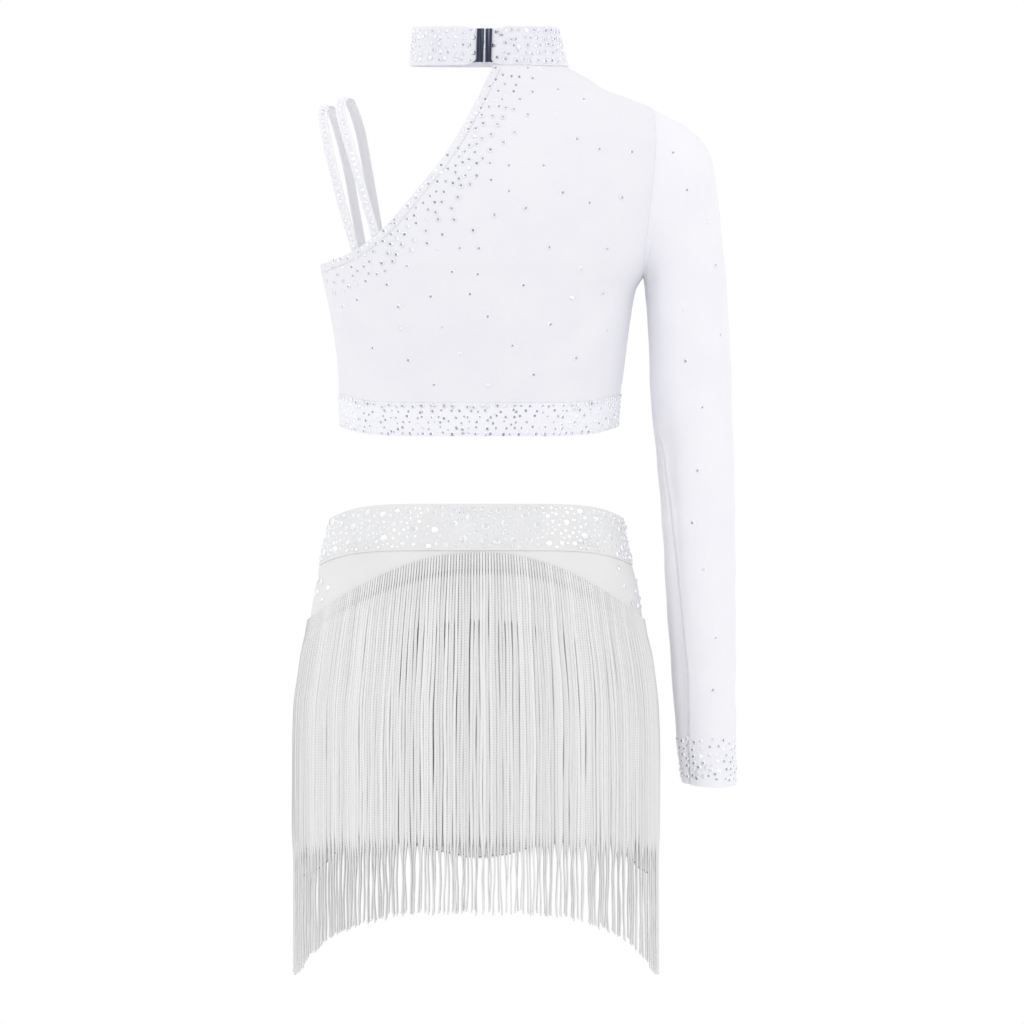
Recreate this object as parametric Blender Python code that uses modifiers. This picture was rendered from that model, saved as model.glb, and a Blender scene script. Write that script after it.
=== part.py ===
"""A two-piece fringe dance costume, hollow and filled out as if worn, with no wearer.

The cropped top has one long sleeve, a slanting neckline, a standing collar that hooks at the
centre back, and two thin straps over the bare shoulder. Below it hang high-waisted shorts with
a waistband and a long fringe all round.

Metres, +Z up. The wearer faces +Y, so their back is towards -Y and their right hand towards +X.
The origin is the middle of the waist. A "turn" is an angle round the body seen from above:
0 at the wearer's right side seam, 90 at the centre back, 180 at the left side seam and 270 at
the centre front.
"""

import math

import bmesh
import bpy
from mathutils import Vector

# Cloth and seams
PANEL_WALL = 0.0014
BAND_WALL = 0.0022
STRAP_WALL = 0.0014
SEAM_GAP = 0.0003
ROUNDNESS = 2.2
SHARP_ANGLE = math.radians(50)

# Cropped top, and the cutters of its neckline and armhole
COLLAR_BASE_HEIGHT = 0.4010
COLLAR_TALL = 0.0355
COLLAR_PROUD = 0.0004
UNDERARM_RIGHT_HEIGHT = 0.2106
SHOULDER_POINT_HEIGHT = 0.3618
HEM_SIDE_HEIGHT = 0.0770
HEM_BACK_DIP = 0.0095
HEM_FLATNESS = 6
HEM_BAND_TALL = 0.0300
HEM_BAND_PROUD = 0.0005
HEM_BAND_WALL = 0.0019
TOP_COLUMNS = 18
TOP_ROW_TALL = 0.0180
CUTTER_REACH = 0.2500
CUT_OVERRUN = 0.0100
CUT_STEPS = 26
WELD_DISTANCE = 0.00001

# Shorts
WAIST_SIDE_HEIGHT = -0.0060
WAIST_RISE = 0.0130
WAIST_FLATNESS = 6
WAISTBAND_TALL = 0.0420
WAISTBAND_PROUD = 0.0008
SHORTS_COLUMNS = 22
GUSSET_HALF_WIDTH = 0.0480
GUSSET_WAIST = 0.0300
GUSSET_TOP_HEIGHT = -0.3003
GUSSET_LOW_HEIGHT = -0.3115

# Fringe
FRINGE_SIDE_HEIGHT = -0.0970
FRINGE_RISE = 0.0600
FRINGE_FLATNESS = 2
HEADER_TALL = 0.0150
HEADER_CLEARANCE = 0.0006
HEADER_WALL = 0.0017
STRANDS_A_SIDE = 124
STRANDS_A_GROUP = 3
STRAND_WIDE = 0.0021
HANG_CLEARANCE = 0.0017
STRAND_STEPS = (0.045, 0.100, 0.165)
STRAND_TAPER = 0.85
HEADER_END_TURN = 0.25
TRIAL_STEPS = 720

# The body form of the top: height, half widths to the left and right, depths to back and front
TORSO = (
    (0.060, 0.1240, 0.1235, 0.0860, 0.0900),
    (0.092, 0.1264, 0.1247, 0.0880, 0.0960),
    (0.128, 0.1278, 0.1296, 0.0920, 0.1060),
    (0.164, 0.1323, 0.1341, 0.0970, 0.1150),
    (0.200, 0.1395, 0.1404, 0.1010, 0.1170),
    (0.2106, 0.1420, 0.1467, 0.1020, 0.1160),
    (0.227, 0.1450, 0.1550, 0.1040, 0.1130),
    (0.258, 0.1610, 0.1660, 0.1030, 0.1070),
    (0.299, 0.1720, 0.1740, 0.0970, 0.0950),
    (0.335, 0.1700, 0.1710, 0.0840, 0.0800),
    (0.352, 0.1640, 0.1640, 0.0750, 0.0710),
    (0.3618, 0.1560, 0.1570, 0.0690, 0.0650),
    (0.3735, 0.1350, 0.1305, 0.0630, 0.0590),
    (0.380, 0.1170, 0.1125, 0.0600, 0.0555),
    (0.389, 0.0900, 0.0990, 0.0570, 0.0525),
    (0.401, 0.0626, 0.0790, 0.0540, 0.0490),
    (0.410, 0.0560, 0.0730, 0.0520, 0.0470),
)

# The body form of the collar, in the same columns
NECK = (
    (0.390, 0.0632, 0.0810, 0.0540, 0.0490),
    (0.401, 0.0630, 0.0793, 0.0540, 0.0490),
    (0.416, 0.0621, 0.0752, 0.0536, 0.0486),
    (0.430, 0.0608, 0.0722, 0.0532, 0.0482),
    (0.440, 0.0598, 0.0700, 0.0530, 0.0480),
)

# The body form of the shorts, in the same columns
HIPS = (
    (0.010, 0.1310, 0.1275, 0.0920, 0.0880),
    (-0.016, 0.1369, 0.1297, 0.0950, 0.0900),
    (-0.034, 0.1415, 0.1330, 0.0975, 0.0920),
    (-0.052, 0.1449, 0.1380, 0.1010, 0.0940),
    (-0.070, 0.1485, 0.1425, 0.1050, 0.0960),
    (-0.106, 0.1545, 0.1475, 0.1120, 0.0990),
    (-0.142, 0.1596, 0.1533, 0.1165, 0.1000),
    (-0.178, 0.1641, 0.1569, 0.1175, 0.1000),
    (-0.214, 0.1650, 0.1578, 0.1150, 0.0990),
    (-0.250, 0.1640, 0.1570, 0.1105, 0.0970),
    (-0.290, 0.1610, 0.1540, 0.1050, 0.0940),
    (-0.335, 0.1580, 0.1510, 0.1000, 0.0900),
)

# The slanting neckline, from the left underarm to the collar: x, height
NECKLINE = (
    (-0.1440, 0.2215),
    (-0.1152, 0.2331),
    (-0.0891, 0.2520),
    (-0.0558, 0.2898),
    (-0.0279, 0.3258),
    (-0.0072, 0.3618),
    (0.0120, 0.4010),
)

# The armhole seam, from the underarm to the shoulder point: height, x
ARMHOLE = (
    (0.2106, 0.1467),
    (0.2300, 0.1484),
    (0.2583, 0.1512),
    (0.2988, 0.1557),
    (0.3348, 0.1582),
    (0.3618, 0.1570),
)

# Rings down the sleeve: inner x and height, outer x and height, half depth, middle y, and the
# crease's depth as a share of the ring. Angles round a ring run from the underarm by way of the back.
SLEEVE = (
    (0.1472, 0.2086, 0.1745, 0.3528, 0.0490, 0.000, 0.0),
    (0.1477, 0.2056, 0.1899, 0.3438, 0.0495, 0.000, 0.0),
    (0.1482, 0.2020, 0.2010, 0.3321, 0.0490, 0.000, 0.0),
    (0.1486, 0.1965, 0.2085, 0.3186, 0.0480, 0.000, 0.0),
    (0.1496, 0.1880, 0.2124, 0.2970, 0.0465, 0.000, 0.0),
    (0.1506, 0.1746, 0.2162, 0.2628, 0.0445, 0.000, 0.0),
    (0.1516, 0.1548, 0.2212, 0.2133, 0.0425, -0.001, 0.0),
    (0.1523, 0.1233, 0.2250, 0.1503, 0.0410, -0.002, 0.0),
    (0.1552, 0.0846, 0.2271, 0.0918, 0.0395, -0.003, 0.02),
    (0.1598, 0.0423, 0.2286, 0.0423, 0.0380, -0.003, 0.05),
    (0.1640, -0.0162, 0.2295, -0.0162, 0.0365, -0.001, 0.08),
    (0.1683, -0.0882, 0.2303, -0.0882, 0.0340, 0.003, 0.09),
    (0.1736, -0.1602, 0.2304, -0.1602, 0.0305, 0.009, 0.09),
    (0.1772, -0.2052, 0.2306, -0.2070, 0.0280, 0.013, 0.08),
    (0.1816, -0.2420, 0.2310, -0.2448, 0.0265, 0.016, 0.07),
)
SLEEVE_RING_ANGLES = (
    0, 15, 28, 38, 46, 54, 64, 78, 94, 110, 126, 142,
    160, 180, 202, 222, 238, 254, 270, 285, 300, 315, 330, 345,
)
CREASE_ANGLE = 46
CREASE_SPREAD = 13
CUFF_BACK_DROP = 0.0045

# Straps, from the back neckline over the shoulder to the front: x, height, share of body depth
STRAP_WIDE = 0.0088
STRAP_STEPS = 26
STRAP_OUTER = (
    (-0.1095, 0.2270, 0.955),
    (-0.1128, 0.2376, 0.955),
    (-0.1218, 0.2673, 0.970),
    (-0.1310, 0.3033, 0.980),
    (-0.1390, 0.3393, 0.900),
    (-0.1414, 0.3573, 0.640),
    (-0.1388, 0.3655, 0.240),
    (-0.1350, 0.3645, -0.200),
    (-0.1310, 0.3550, -0.620),
    (-0.1260, 0.3380, -0.880),
    (-0.1192, 0.3078, -0.960),
    (-0.1122, 0.2673, -0.965),
    (-0.1075, 0.2420, -0.960),
    (-0.1055, 0.2300, -0.960),
)
STRAP_INNER = (
    (-0.0930, 0.2430, 0.965),
    (-0.0958, 0.2550, 0.965),
    (-0.1022, 0.2763, 0.970),
    (-0.1122, 0.3123, 0.980),
    (-0.1214, 0.3438, 0.900),
    (-0.1256, 0.3630, 0.620),
    (-0.1226, 0.3725, 0.220),
    (-0.1184, 0.3715, -0.200),
    (-0.1138, 0.3620, -0.600),
    (-0.1082, 0.3438, -0.860),
    (-0.1016, 0.3078, -0.960),
    (-0.0962, 0.2763, -0.965),
    (-0.0924, 0.2538, -0.965),
    (-0.0908, 0.2440, -0.965),
)

# The hem of the shorts' back and front, from the middle to the side seam: x, height
LEG_HEM = (
    (0.0000, -0.3003),
    (0.0500, -0.3003),
    (0.0720, -0.2970),
    (0.0945, -0.2930),
    (0.1125, -0.2945),
    (0.1305, -0.3090),
    (0.1480, -0.3240),
    (0.1600, -0.3280),
)

# The cut ends of the fringe: turn from the side seam, height
FRINGE_FOOT = (
    (0, -0.4150),
    (13, -0.4140),
    (21, -0.4040),
    (28, -0.3942),
    (39, -0.3816),
    (53, -0.3699),
    (68, -0.3618),
    (90, -0.3591),
)

# The gusset's middle line from back to front: share of the way across, drop below its top edge
GUSSET_LINE = (
    (0.000, 0.00),
    (0.004, 0.50),
    (0.050, 0.86),
    (0.180, 0.97),
    (0.500, 1.00),
    (0.820, 0.97),
    (0.950, 0.86),
    (0.996, 0.50),
    (1.000, 0.00),
)

# Hook clasp at the centre back
CLASP_TALL = 0.0302
CLASP_MIDDLE_HEIGHT = 0.4195
CLASP_PROUD = 0.0012
HOOK_FROM_X = -0.0028
HOOK_TO_X = 0.0042
HOOK_WALL = 0.0024
EYE_FROM_X = 0.0056
EYE_TO_X = 0.0104
EYE_WALL = 0.0011
CLASP_BEVEL = 0.0003
TONGUE_TALL = 0.0080
TONGUE_WALL = 0.0008
TONGUE_ROOT = 0.0010
TONGUE_SET_IN = 0.0001

# Colours, roughness and metallic value of each material
FINISHES = {
    "stretch_knit": ((0.86, 0.86, 0.90, 1), 0.55, 0.0),
    "shorts_knit": ((0.80, 0.80, 0.80, 1), 0.60, 0.0),
    "fringe_cord": ((0.78, 0.78, 0.78, 1), 0.50, 0.0),
    "clasp_metal": ((0.10, 0.11, 0.16, 1), 0.25, 0.9),
}

COSTUME = "fringe_dance_costume"
HEIGHT, LEFT, RIGHT, BACK, FRONT = range(5)


def material_named(name):
    """The Principled BSDF material of that name, made the first time it is asked for."""
    found = bpy.data.materials.get(name)
    if found:
        return found
    colour, roughness, metallic = FINISHES[name]
    made = bpy.data.materials.new(name)
    made.use_nodes = True
    surface = made.node_tree.nodes["Principled BSDF"]
    surface.inputs["Base Color"].default_value = colour
    surface.inputs["Roughness"].default_value = roughness
    surface.inputs["Metallic"].default_value = metallic
    return made


def smooth_value(knots, values, place):
    """A curve through (knots, values), with no overshoot between them. Knots may run either way."""
    if knots[0] > knots[-1]:
        knots, values = knots[::-1], values[::-1]
    place = min(max(place, knots[0]), knots[-1])
    last = len(knots) - 2
    span = next((i for i in range(last + 1) if place <= knots[i + 1]), last)

    def secant(i):
        return (values[i + 1] - values[i]) / (knots[i + 1] - knots[i])

    def slope(i):
        if i == 0 or i == last + 1:
            return secant(min(i, last))
        before, after = secant(i - 1), secant(i)
        return 0.0 if before * after <= 0 else 2 * before * after / (before + after)

    wide = knots[span + 1] - knots[span]
    t = (place - knots[span]) / wide
    start = values[span] * (1 + 2 * t) * (1 - t) ** 2 + slope(span) * wide * t * (1 - t) ** 2
    end = values[span + 1] * t * t * (3 - 2 * t) + slope(span + 1) * wide * t * t * (t - 1)
    return start + end


def section(form, height):
    """The left and right half widths and the back and front depths of a body form at a height."""
    heights = [row[HEIGHT] for row in form]
    return [smooth_value(heights, [row[c] for row in form], height) for c in (LEFT, RIGHT, BACK, FRONT)]


def powered(value, power):
    return math.copysign(abs(value) ** power, value)


def form_point(form, turn, height, hang=False):
    """The point of a body form at a turn and a height. A hanging point never comes back inwards."""
    left, right, back, front = section(form, height)
    if hang:
        above = [section(form, row[HEIGHT]) for row in form if row[HEIGHT] >= height]
        left, right, back, front = [max([a, *b]) for a, *b in zip((left, right, back, front), *above)]
    across = powered(math.cos(math.radians(turn)), 2 / ROUNDNESS)
    deep = powered(math.sin(math.radians(turn)), 2 / ROUNDNESS)
    return Vector((
        across * (right if across > 0 else left),
        -deep * (back if deep > 0 else front),
        height,
    ))


def form_normal(form, turn, height, hang=False):
    """The outward direction of a body form at a turn and a height."""
    small_turn, small_height = 0.5, 0.001
    before, after = (form_point(form, turn + step, height, hang) for step in (-small_turn, small_turn))
    below, above = (form_point(form, turn, height + step, hang) for step in (-small_height, small_height))
    return (above - below).cross(after - before).normalized()


def skin(form, turn, height, out, hang=False):
    """A point that lies that far outside the body form."""
    return form_point(form, turn, height, hang) + out * form_normal(form, turn, height, hang)


def turn_at(form, x, height, front=False):
    """The turn at which the form has that x at that height, on its back or its front half."""
    left, right, _, _ = section(form, height)
    share = min(1.0, abs(x) / (right if x > 0 else left))
    turn = math.degrees(math.acos(math.copysign(share ** (ROUNDNESS / 2), x)))
    return 360 - turn if front else turn


def edge_height(side_height, rise, flatness, turn):
    """The height of an edge that rises from the side seams to the centre back and front."""
    return side_height + rise * (1 - abs(math.cos(math.radians(turn))) ** flatness)


def hem_height(turn):
    """The height of the top's lower edge. Only its back dips."""
    dip = HEM_BACK_DIP if math.sin(math.radians(turn)) > 0 else 0.0
    return edge_height(HEM_SIDE_HEIGHT, -dip, HEM_FLATNESS, turn)


def waist_height(turn):
    return edge_height(WAIST_SIDE_HEIGHT, WAIST_RISE, WAIST_FLATNESS, turn)


def fringe_height(turn):
    """The height of the fringe header's upper edge."""
    return edge_height(FRINGE_SIDE_HEIGHT, FRINGE_RISE, FRINGE_FLATNESS, turn)


def fringe_foot_height(turn):
    """The height at which the cords are cut off."""
    from_seam = math.degrees(math.asin(abs(math.sin(math.radians(turn)))))
    return smooth_value([row[0] for row in FRINGE_FOOT], [row[1] for row in FRINGE_FOOT], from_seam)


def leg_hem_height(turn):
    height = LEG_HEM[-1][1]
    x = abs(form_point(HIPS, turn, height).x)
    return smooth_value([row[0] for row in LEG_HEM], [row[1] for row in LEG_HEM], x)


def evenly(start, end, steps):
    """steps + 1 values from start to end."""
    return [start + (end - start) * i / steps for i in range(steps + 1)]


def spaced_along(points, steps):
    """steps + 1 places at equal distances along a row of points, as (index, share) of its spans."""
    lengths = [0.0]
    for a, b in zip(points, points[1:]):
        lengths.append(lengths[-1] + (b - a).length)
    places, span = [], 0
    for want in evenly(0.0, lengths[-1], steps):
        while span < len(points) - 2 and lengths[span + 1] < want:
            span += 1
        places.append((span, (want - lengths[span]) / (lengths[span + 1] - lengths[span])))
    return places


def finished(obj, material):
    """Puts the object in the costume's collection with its material."""
    bpy.data.collections[COSTUME].objects.link(obj)
    obj.data.materials.append(material_named(material))
    return obj


def wall_between(name, outer_rows, inner_rows, material, closed=False):
    """A cloth wall between rows of points on its outer side and rows on its inner side."""
    mesh = bpy.data.meshes.new(name)
    made = bmesh.new()
    outer, inner = (
        [[made.verts.new(point) for point in row] for row in rows]
        for rows in (outer_rows, inner_rows)
    )
    columns, last = len(outer[0]), len(outer) - 1
    for i in range(columns if closed else columns - 1):
        j = (i + 1) % columns
        for k in range(last):
            made.faces.new((outer[k][i], outer[k][j], outer[k + 1][j], outer[k + 1][i]))
            made.faces.new((inner[k][j], inner[k][i], inner[k + 1][i], inner[k + 1][j]))
        made.faces.new((inner[0][i], inner[0][j], outer[0][j], outer[0][i]))
        made.faces.new((outer[last][i], outer[last][j], inner[last][j], inner[last][i]))
    for k in range(0 if closed else last):
        made.faces.new((inner[k][0], outer[k][0], outer[k + 1][0], inner[k + 1][0]))
        made.faces.new((outer[k][-1], inner[k][-1], inner[k + 1][-1], outer[k + 1][-1]))
    made.to_mesh(mesh)
    made.free()
    mesh.shade_smooth()
    mesh.set_sharp_from_angle(angle=SHARP_ANGLE)
    return finished(bpy.data.objects.new(name, mesh), material)


def fitted_wall(name, form, grid, proud, wall, material, shift=0.0, closed=False):
    """A cloth wall that follows a body form, from rows of (turn, height), moved by shift along Y."""
    aside = Vector((0, shift, 0))
    outer, inner = (
        [[skin(form, turn, height, out) + aside for turn, height in row] for row in grid]
        for out in (proud, proud - wall)
    )
    return wall_between(name, outer, inner, material, closed)


def inset(ring, distance):
    """A closed ring of points moved inwards in its own plane."""
    middle = sum(ring, Vector()) / len(ring)
    plane = sum(((a - middle).cross(b - middle) for a, b in zip(ring, ring[1:] + ring[:1])), Vector())
    moved = []
    for i, point in enumerate(ring):
        inwards = plane.cross(ring[(i + 1) % len(ring)] - ring[i - 1]).normalized()
        moved.append(point + inwards * distance)
    return moved


def shell(name, grid, wall, material):
    """A cloth wall from rows of points on its outer side, thickened inwards."""
    mesh = bpy.data.meshes.new(name)
    sheet = bmesh.new()
    rows = [[sheet.verts.new(point) for point in row] for row in grid]
    for low, high in zip(rows, rows[1:]):
        for i in range(len(low) - 1):
            sheet.faces.new((low[i], low[i + 1], high[i + 1], high[i]))
    sheet.to_mesh(mesh)
    sheet.free()
    mesh.shade_smooth()
    obj = finished(bpy.data.objects.new(name, mesh), material)
    thicken = obj.modifiers.new("wall", "SOLIDIFY")
    thicken.thickness = wall
    thicken.offset = -1
    thicken.use_even_offset = True
    return obj


def armhole_x(height):
    return smooth_value([row[0] for row in ARMHOLE], [row[1] for row in ARMHOLE], height)


def armhole_place(angle):
    """The (turn, height) of the armhole seam at an angle round it, from the underarm by way of the back."""
    middle = (UNDERARM_RIGHT_HEIGHT + SHOULDER_POINT_HEIGHT) / 2
    reach = (SHOULDER_POINT_HEIGHT - UNDERARM_RIGHT_HEIGHT) / 2
    height = middle - reach * math.cos(math.radians(angle))
    if angle in (0, 180, 360):
        return Vector((0.0, height))
    return Vector((turn_at(TORSO, armhole_x(height), height, front=angle > 180), height))


def extruded_cutter(name, outline):
    """A cutter that runs through the body from back to front. Its outline is in x and height."""
    curve = bpy.data.curves.new(name, "CURVE")
    curve.dimensions = "2D"
    curve.fill_mode = "BOTH"
    curve.extrude = CUTTER_REACH
    line = curve.splines.new("POLY")
    line.points.add(len(outline) - 1)
    for point, (x, height) in zip(line.points, outline):
        point.co = (x, height, 0, 1)
    line.use_cyclic_u = True
    flat = bpy.data.objects.new(name + "_outline", curve)
    flat.rotation_euler.x = math.radians(90)
    bpy.context.scene.collection.objects.link(flat)
    graph = bpy.context.evaluated_depsgraph_get()
    mesh = bpy.data.meshes.new_from_object(flat.evaluated_get(graph))
    mesh.transform(flat.matrix_world)
    bpy.data.objects.remove(flat)
    welded = bmesh.new()
    welded.from_mesh(mesh)
    bmesh.ops.remove_doubles(welded, verts=welded.verts, dist=WELD_DISTANCE)
    bmesh.ops.recalc_face_normals(welded, faces=welded.faces)
    welded.to_mesh(mesh)
    welded.free()
    cutter = bpy.data.objects.new(name, mesh)
    cutter.hide_render = True
    cutter.display_type = "WIRE"
    bpy.data.collections["cutters"].objects.link(cutter)
    return cutter


def neckline_cutter():
    """Takes away everything to the left of the neckline."""
    heights = [row[1] for row in NECKLINE]
    xs = [row[0] for row in NECKLINE]
    levels = evenly(heights[0], heights[-1], CUT_STEPS)
    outline = [(smooth_value(heights, xs, height), height) for height in levels]
    first_slope = (NECKLINE[1][1] - NECKLINE[0][1]) / (NECKLINE[1][0] - NECKLINE[0][0])
    last_slope = (NECKLINE[-1][0] - NECKLINE[-2][0]) / (NECKLINE[-1][1] - NECKLINE[-2][1])
    far = -CUTTER_REACH
    outline.insert(0, (far, outline[0][1] + first_slope * (far - outline[0][0])))
    outline.append((outline[-1][0] + last_slope * CUT_OVERRUN, outline[-1][1] + CUT_OVERRUN))
    outline.append((far, outline[-1][1]))
    return extruded_cutter("neckline_cutter", outline)


def armhole_cutter():
    """Takes away everything to the right of the armhole seam."""
    levels = evenly(UNDERARM_RIGHT_HEIGHT, SHOULDER_POINT_HEIGHT, CUT_STEPS)
    outline = [(armhole_x(height), height) for height in levels]
    outline.insert(0, (outline[0][0], outline[0][1] - CUT_OVERRUN))
    outline.append((outline[-1][0], outline[-1][1] + CUT_OVERRUN))
    outline += [(CUTTER_REACH, outline[-1][1]), (CUTTER_REACH, outline[0][1])]
    return extruded_cutter("armhole_cutter", outline)


def top_panel(name, front, cutters):
    """The back or front of the top: level rows above the hem band, cut to the neckline and armhole."""
    levels = [row[HEIGHT] for row in TORSO if row[HEIGHT] > HEM_SIDE_HEIGHT + HEM_BAND_TALL]
    levels = [height for height in levels if height <= COLLAR_BASE_HEIGHT]
    levels = levels[:1] + [
        height
        for low, high in zip(levels, levels[1:])
        for height in evenly(low, high, math.ceil((high - low) / TOP_ROW_TALL))[1:]
    ]
    turns = evenly(360, 180, TOP_COLUMNS) if front else evenly(180, 0, TOP_COLUMNS)
    grid = [[(turn, hem_height(turn) + HEM_BAND_TALL + SEAM_GAP) for turn in turns]]
    grid += [[(turn, height) for turn in turns] for height in levels]
    shift = SEAM_GAP / 2 if front else -SEAM_GAP / 2
    panel = fitted_wall(name, TORSO, grid, 0.0, PANEL_WALL, "stretch_knit", shift)
    for cutter in cutters:
        cut = panel.modifiers.new(cutter.name, "BOOLEAN")
        cut.operation = "DIFFERENCE"
        cut.object = cutter
    graph = bpy.context.evaluated_depsgraph_get()
    panel.data = bpy.data.meshes.new_from_object(panel.evaluated_get(graph))
    panel.modifiers.clear()
    panel.data.set_sharp_from_angle(angle=SHARP_ANGLE)


def band_ring(name, form, low_edge, tall, proud, wall, material, half_columns, rows):
    """A closed band round the body, its lower edge at low_edge(turn)."""
    turns = evenly(180, -180, 2 * half_columns)[:-1]
    grid = [[(turn, low_edge(turn) + step) for turn in turns] for step in evenly(0.0, tall, rows)]
    return fitted_wall(name, form, grid, proud, wall, material, closed=True)


def collar():
    """The standing collar, open at the clasp, sewn to the top on the wearer's right."""
    columns, rows = 40, 2
    pinch = (CLASP_TALL - COLLAR_TALL) / 2
    foot = COLLAR_BASE_HEIGHT + SEAM_GAP
    grid = []
    for share in evenly(0, 1, rows):
        ends = foot + COLLAR_TALL * share - pinch * (1 - 2 * share)
        hook_turn = turn_at(NECK, HOOK_FROM_X - SEAM_GAP, ends)
        eye_turn = turn_at(NECK, EYE_TO_X + SEAM_GAP, ends)
        heights = [ends] + [foot + COLLAR_TALL * share] * (columns - 1) + [ends]
        grid.append(list(zip(evenly(eye_turn, hook_turn - 360, columns), heights)))
    return fitted_wall("collar", NECK, grid, COLLAR_PROUD, BAND_WALL, "stretch_knit")


def sleeve():
    """The long sleeve: the armhole ring, then rings that swing round the underarm and run to the cuff."""
    seam = Vector((SEAM_GAP, 0, 0))
    rings = [[form_point(TORSO, *armhole_place(angle)) + seam for angle in SLEEVE_RING_ANGLES]]
    for inner_x, inner_height, outer_x, outer_height, half_depth, middle_y, crease in SLEEVE:
        inner, outer = Vector((inner_x, middle_y, inner_height)), Vector((outer_x, middle_y, outer_height))
        centre = (inner + outer) / 2
        ring = []
        for angle in SLEEVE_RING_ANGLES:
            fold = 1 - crease * math.exp(-(((angle - CREASE_ANGLE) / CREASE_SPREAD) ** 2))
            across = -math.cos(math.radians(angle)) * fold
            deep = math.sin(math.radians(angle)) * fold
            ring.append(centre + across * (outer - centre) - Vector((0, deep * half_depth, 0)))
        rings.append(ring)
    for point, angle in zip(rings[-1], SLEEVE_RING_ANGLES):
        point.z -= CUFF_BACK_DROP * math.sin(math.radians(angle))
    rings.reverse()
    inner = [inset(ring, PANEL_WALL) for ring in rings]
    return wall_between("sleeve", rings, inner, "stretch_knit", closed=True)


def strap(name, table):
    """A flat strap from inside the back neckline, over the shoulder, to inside the front neckline."""
    middles, sideways = [], []
    places = range(len(table))
    for place in evenly(0, len(table) - 1, STRAP_STEPS):
        x, height, share = (smooth_value(places, column, place) for column in zip(*table))
        turn = turn_at(TORSO, x, height, front=share < 0)
        middles.append(Vector((x, form_point(TORSO, turn, height).y * abs(share), height)))
        along = form_point(TORSO, turn - 1, height) - form_point(TORSO, turn + 1, height)
        if along.x < 0:
            along.negate()
        sideways.append(along.normalized().lerp(Vector((1, 0, 0)), 1 - share**2).normalized())
    grid = []
    for i, (middle, across) in enumerate(zip(middles, sideways)):
        run = (middles[min(i + 1, STRAP_STEPS)] - middles[max(i - 1, 0)]).normalized()
        across = (across - across.dot(run) * run).normalized()
        grid.append([middle - across * STRAP_WIDE / 2, middle + across * STRAP_WIDE / 2])
    return shell(name, grid, STRAP_WALL, "stretch_knit")


def shorts_panel(name, front):
    """The back or front of the shorts, from the waistband to the leg hems."""
    rows = 10
    grid = []
    for share in evenly(0, 1, rows):
        line = []
        for turn in evenly(360, 180, SHORTS_COLUMNS) if front else evenly(180, 0, SHORTS_COLUMNS):
            high = waist_height(turn) - WAISTBAND_TALL - SEAM_GAP
            line.append((turn, high * share + leg_hem_height(turn) * (1 - share)))
        grid.append(line)
    shift = SEAM_GAP / 2 if front else -SEAM_GAP / 2
    return fitted_wall(name, HIPS, grid, 0.0, PANEL_WALL, "shorts_knit", shift)


def gusset():
    """The piece that joins back and front between the legs."""
    columns = 6
    grid = []
    for share, drop in GUSSET_LINE:
        narrow = math.sin(math.pi * share)
        half = GUSSET_HALF_WIDTH + (GUSSET_WAIST - GUSSET_HALF_WIDTH) * narrow
        height = GUSSET_TOP_HEIGHT - SEAM_GAP + (GUSSET_LOW_HEIGHT - GUSSET_TOP_HEIGHT) * drop
        line = []
        for across in evenly(-1, 1, columns):
            x = across * half
            back = form_point(HIPS, turn_at(HIPS, x, GUSSET_TOP_HEIGHT), GUSSET_TOP_HEIGHT).y
            front = form_point(HIPS, turn_at(HIPS, x, GUSSET_TOP_HEIGHT, True), GUSSET_TOP_HEIGHT).y
            line.append(Vector((x, back + (front - back) * share, height)))
        grid.append(line[::-1])
    return shell("gusset", grid, PANEL_WALL, "shorts_knit")


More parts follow.
